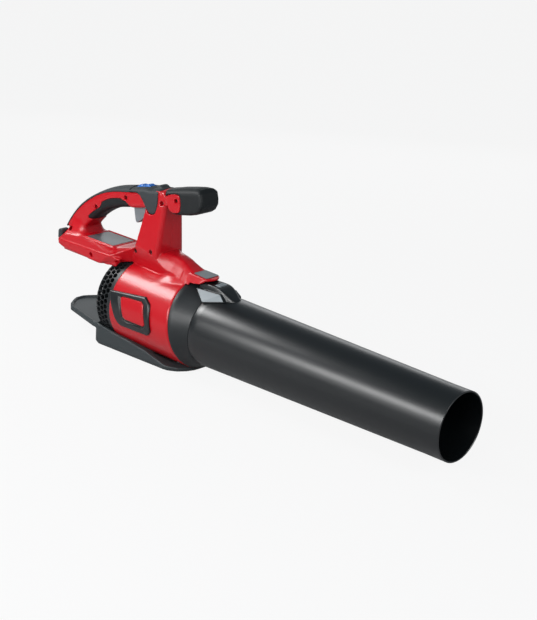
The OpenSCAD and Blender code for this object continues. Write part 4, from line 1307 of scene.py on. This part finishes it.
@dataclass
class BasePlate:
    """Grey foot plate with its rear tongue."""

    step: float = 1.3

    @staticmethod
    def _plan(points: Sequence[Point], x: Grid, y: Grid) -> Grid:
        """Distance to a plan that is the same on both sides."""
        return outline_distance([*points, *[(a, -b) for a, b in reversed(points)]], x, y)

    def _prism(self, points: Sequence[Point], low: float, high: float, soft: float) -> Shape:
        """Plan made solid between two heights."""
        return lambda x, y, z: smax(self._plan(points, x, y), within(z, low, high), soft)

    def _skirt(self, x: Grid, y: Grid, z: Grid) -> Grid:
        """Distance to the tray, whose top edge falls towards the front."""
        tray = [(-88, 44), (-87, 49.5), (-84, 53.6), (-80, 55.5), (-76, 56), (52, 50.4),
                (60, 48.4), (72, 40), (80, 28), (84, 17), (85, 8)]
        top = lookup(x, [-90, -80, -41, -18, 15, 52, 66, 90],
                     [33, 32.4, 26, 24, 19.2, 9, 7.5, 6])
        flat = self._plan(tray, x, y)
        under = (flat - (z - 4.6) * 0.75) * 0.8
        return np.maximum(smax(smax(flat, (z - top) * 0.98, 1.2), under, 0.6), 0.0 - z)

    def build(self) -> None:
        """Makes the plate from one clay."""
        clay = Clay((-187, -59, -1.3), (88, 0.0, 36), self.step)
        tongue = [(-76, 55.6), (-90, 55.0), (-160, 36.5), (-170, 28), (-179, 15), (-183.6, 6)]
        inner = [(-60, 51.0), (-92, 50.6), (-157, 33), (-166.5, 25), (-175, 12.8), (-179, 5)]
        clay.add(self._skirt)
        clay.add(self._prism(tongue, 24.0, 32.0, 2.4), 1.6)
        clay.cut(self._prism(inner, 29.6, 60.0, 0.6), 0.8, (-187, -59, 20), (-84.5, 1, 40))
        clay.cut(tube_of(BARREL_R + 0.3, -86.2, 200.0), 0.4)
        clay.cut(tube_of(BARREL_R + 2.6, 24.0, 58.0), 0.6)
        clay.mirror()
        for x, y in product((-36.0, 44.0), (-16.0, 16.0)):
            self._screw_hole(clay, x, y)
        clay_piece("foot_plate", clay, BASE, "base_plate")

    @staticmethod
    def _screw_hole(clay: Clay, x0: float, y0: float) -> None:
        """Sinks one screw from below."""

        def hole(x: Grid, y: Grid, z: Grid) -> Grid:
            """Distance to the recess and the shank's hole."""
            r = np.hypot(x - x0, y - y0)
            return np.minimum(np.maximum(r - 3.3, z - 1.9), r - 1.8)

        clay.cut(hole, 0.0, (x0 - 6, y0 - 6, -3), (x0 + 6, y0 + 6, 30))


@dataclass
class Badges:
    """Blank badge frames and panels on the barrel, and the blank films."""

    outer: tuple = ((-51, 92), (17, 99.5), (29, 93), (31.5, 88), (38, 56.6), (34, 50),
                    (29, 47.8), (-23.5, 46.4), (-30, 50), (-35, 57))
    inner: tuple = ((-31, 89.5), (14, 93), (20.5, 89), (29, 62), (25, 57), (-12, 56.5),
                    (-19, 60))
    panel: tuple = ((-27, 87.3), (-23, 90), (13, 92.2), (18, 89.2), (26.6, 63.5), (24, 59.6),
                    (-12, 59.2), (-17.5, 62))
    step: float = 0.6

    @staticmethod
    def _plate(points: Sequence[Point], r0: float, r1: float, soft: float) -> Shape:
        """Outline in X and Z between two radii, at both sides."""
        return lambda x, y, z: smax(
            outline_distance(points, x, z), within(from_axis(y, z), r0, r1), soft)

    @staticmethod
    def _pair(kind: str, clay: Clay, finish: Finish) -> None:
        """Makes a clay's piece for both sides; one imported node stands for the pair."""
        verts, faces = clay.surface()
        for side in Side:
            flipped = verts * np.array([1.0, -side.value, 1.0])
            obj = mesh_object(f"badge_{kind}_{side.name.lower()}", flipped, faces, 50.0)
            place(obj, finish, *([f"badge_{kind}s"] if side is Side.RIGHT else []))

    def frames(self) -> None:
        """Thick bevelled frames."""

        def bevelled(x: Grid, y: Grid, z: Grid) -> Grid:
            """Distance to the frame with its sloping outer edge."""
            r = from_axis(y, z)
            flat = outline_distance(self.outer, x, z)
            slope = (flat + (r - BARREL_R - 2.2) * 0.9) * 0.75
            return smax(smax(flat, slope, 0.6), within(r, 62.15, 65.5), 0.8)

        clay = Clay((-53, -67, 44), (40, -48, 102), self.step)
        clay.add(bevelled)
        clay.cut(self._plate(self.inner, 63.6, 90.0, 0.4), 0.6)
        clay.cut(self._plate(self.panel, 60.0, 90.0, 0.0), 0.8)
        self._pair("frame", clay, TUBE)

    def panels(self) -> None:
        """Blank red panels inside the frames."""
        clay = Clay((-30, -66, 56), (30, -50, 95), self.step)
        clay.add(self._plate(self.panel, 62.2, 64.5, 1.2))
        self._pair("panel", clay, RED)

    @staticmethod
    def film(name: str, rear: Point, front: Point, thick: float, node: str) -> None:
        """Thin blank film with cut corners, the same on both sides.

        Args:
            name: the piece's name.
            rear: place of its rear corner at the right.
            front: place of its front corner at the right.
            thick: its thickness.
            node: the node that it replaces.
        """
        pts = [Vector(c) for c in (rear, front, (front[0], -front[1], front[2]),
                                   (rear[0], -rear[1], rear[2]))]
        ring = []
        for i, p in enumerate(pts):
            before, after = pts[i - 1] - p, pts[(i + 1) % 4] - p
            for t in (0.0, 0.25, 0.5, 0.75, 1.0):
                ring.append(p + before.normalized() * 2.4 * (1 - t) ** 2
                            + after.normalized() * 2.4 * t ** 2)
        n = len(ring)
        verts = [(v.x, v.y, v.z + lift) for lift in (0.0, thick) for v in ring]
        faces = [range(n - 1, -1, -1), range(n, 2 * n), *loft_faces(n, 2)]
        place(mesh_object(name, verts, faces, 20.0), LABEL, node)

    def build(self) -> None:
        """Makes the badges and films."""
        self.frames()
        self.panels()
        self.film("deck_film", (-146, -20.6, 139.9), (-90, -20.6, 139.9), 0.45, "deck_label")
        self.film("nose_film", (66, -11.5, 139.4), (92, -12.5, 138.3), 0.35, "nose_decal")


@dataclass
class Carried:
    """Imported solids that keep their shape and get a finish."""

    finishes: tuple = (
        (STEEL, ("trigger_pin", "trigger_spring", "latch_springs", "release_spring",
                 "motor_stator", "front_bearing", "rear_bearing", "rotor_shaft",
                 "impeller_nut")),
        (SCREW, ("base_screws",)),
        (INNER, ("trigger_switch", "turbo_switch", "terminal_block", "fan_duct", "tail_cone",
                 "impeller")),
        (COPPER, ("terminal_blades", "motor_windings")),
        (LEAD_RED, ("power_leads",)),
        (LEAD_BLACK, ("motor_leads",)),
        (BOARD, ("controller_board",)),
        (ALUMINIUM, ("heat_sink",)),
        (MAGNET, ("rotor_magnet",)),
    )

    def build(self) -> None:
        """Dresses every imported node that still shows."""
        for finish, nodes in self.finishes:
            for node in nodes:
                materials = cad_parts[node].data.materials
                materials.clear()
                materials.append(finish.material())
                LOG.info("%s: %s", node, finish.name)


# ---------------------------------------------------------------- studio


@dataclass
class Studio:
    """Pale floor, soft light and the camera."""

    eye: Point = (1434.136, -1419.180, 802.638)
    right: Point = (0.73603888, 0.67361462, 0.06700829)
    down: Point = (0.27668841, -0.20902596, -0.93795078)
    ahead: Point = (-0.61781089, 0.70890866, -0.34023259)
    focal_px: float = 1500.0
    height_px: float = 620.0
    sensor_mm: float = 36.0

    def camera(self) -> None:
        """Camera at the settled viewpoint."""
        data = bpy.data.cameras.new("viewpoint")
        data.sensor_fit = "VERTICAL"
        data.sensor_width = data.sensor_height = self.sensor_mm
        data.lens = self.focal_px * self.sensor_mm / self.height_px
        data.clip_end = 20.0
        cam = bpy.data.objects.new("viewpoint", data)
        rows = [(r, -d, -a) for r, d, a in zip(self.right, self.down, self.ahead)]
        cam.matrix_world = Matrix.Translation(Vector(self.eye) * MM) @ Matrix(rows).to_4x4()
        bpy.context.collection.objects.link(cam)
        bpy.context.scene.camera = cam

    @staticmethod
    def background_share(tree: bpy.types.NodeTree, seen: float, mirrored: float):
        """Share of plain white by the kind of ray that meets the background.

        Args:
            tree: the node tree to add to.
            seen: share for rays from the camera and through clear pieces.
            mirrored: share for rays off glossy pieces.

        Returns:
            The socket that carries the share.
        """
        path = add_node(tree, "LightPath", {})
        total = 0.0
        for ray, share in (("Is Camera Ray", seen), ("Is Transmission Ray", seen),
                           ("Is Glossy Ray", mirrored)):
            total = calculate(tree, "MULTIPLY_ADD", path.outputs[ray], share, total,
                              use_clamp=True)
        return total

    def floor(self) -> None:
        """Plain pale floor that shows white and keeps the shadow."""
        reach = 6000
        verts = [(-reach, -reach, 0), (reach, -reach, 0), (reach, reach, 0), (-reach, reach, 0)]
        obj = mesh_object("studio_floor", verts, [(0, 1, 2, 3)])
        mat = bpy.data.materials.new("studio_floor")
        mat.use_nodes = True
        tree = mat.node_tree
        shader = tree.nodes["Principled BSDF"]
        feed(tree, shader, {"Base Color": (0.42, 0.42, 0.43, 1.0), "Roughness": 0.9,
                            "Specular IOR Level": 0.1})
        white = add_node(tree, "Emission", {})
        mix = add_node(tree, "MixShader", {"Fac": self.background_share(tree, 0.90, 0.05),
                                           1: shader.outputs["BSDF"],
                                           2: white.outputs["Emission"]})
        feed(tree, tree.nodes["Material Output"], {"Surface": mix.outputs["Shader"]})
        obj.data.materials.append(mat)

    def world(self) -> None:
        """Even pale surroundings, white to the camera."""
        world = bpy.data.worlds.new("studio")
        world.use_nodes = True
        tree = world.node_tree
        colour = mixed(tree, self.background_share(tree, 1.0, 0.0), (0.15, 0.175, 0.195, 1.0),
                       (1.0, 1.0, 1.0, 1.0))
        feed(tree, tree.nodes["Background"], {"Color": colour, "Strength": 1.0})
        bpy.context.scene.world = world

    @staticmethod
    def lamp(name: str, stand: Point, aim: Point, size: Point, watts: float) -> None:
        """Soft rectangular lamp.

        Args:
            name: the lamp's name.
            stand: where it stands, in metres.
            aim: the point it faces.
            size: width and height.
            watts: its power.
        """
        data = bpy.data.lights.new(name, "AREA")
        data.shape, data.size, data.size_y, data.energy = "RECTANGLE", *size, watts
        obj = bpy.data.objects.new(name, data)
        obj.location = stand
        obj.rotation_euler = (Vector(aim) - Vector(stand)).to_track_quat("-Z", "Y").to_euler()
        bpy.context.collection.objects.link(obj)

    def build(self) -> None:
        """Sets up the studio."""
        self.camera()
        self.floor()
        self.world()
        self.lamp("side", (-0.10, -0.95, 0.36), (0.15, 0, 0.08), (0.80, 0.40), 1.2)
        self.lamp("strip", (0.20, -0.92, 0.56), (0.2, 0, 0.08), (1.40, 0.24), 9.0)
        self.lamp("over", (-0.56, -0.28, 0.70), (0.0, -0.03, 0.12), (0.30, 0.22), 3.6)
        self.lamp("rim", (-0.75, 1.20, 0.42), (0.25, 0, 0.10), (1.60, 0.50), 3.6)
        self.lamp("front", (1.50, -0.10, 0.75), (0.1, 0, 0.12), (0.60, 0.60), 6.5)
        bpy.context.scene.view_settings.view_transform = "Standard"


def main() -> None:
    """Builds every sub-assembly in order."""
    logging.basicConfig(level=logging.INFO, format="%(name)s: %(message)s")
    for part in (
        Studio(), RedShells(), HandleTrim(), Controls(), BlowerTube(), FrontCollar(),
        Grille(), BasePlate(), Badges(), Carried(),
    ):
        LOG.info("building %s", type(part).__name__)
        part.build()


if __name__ == "__main__":
    main()
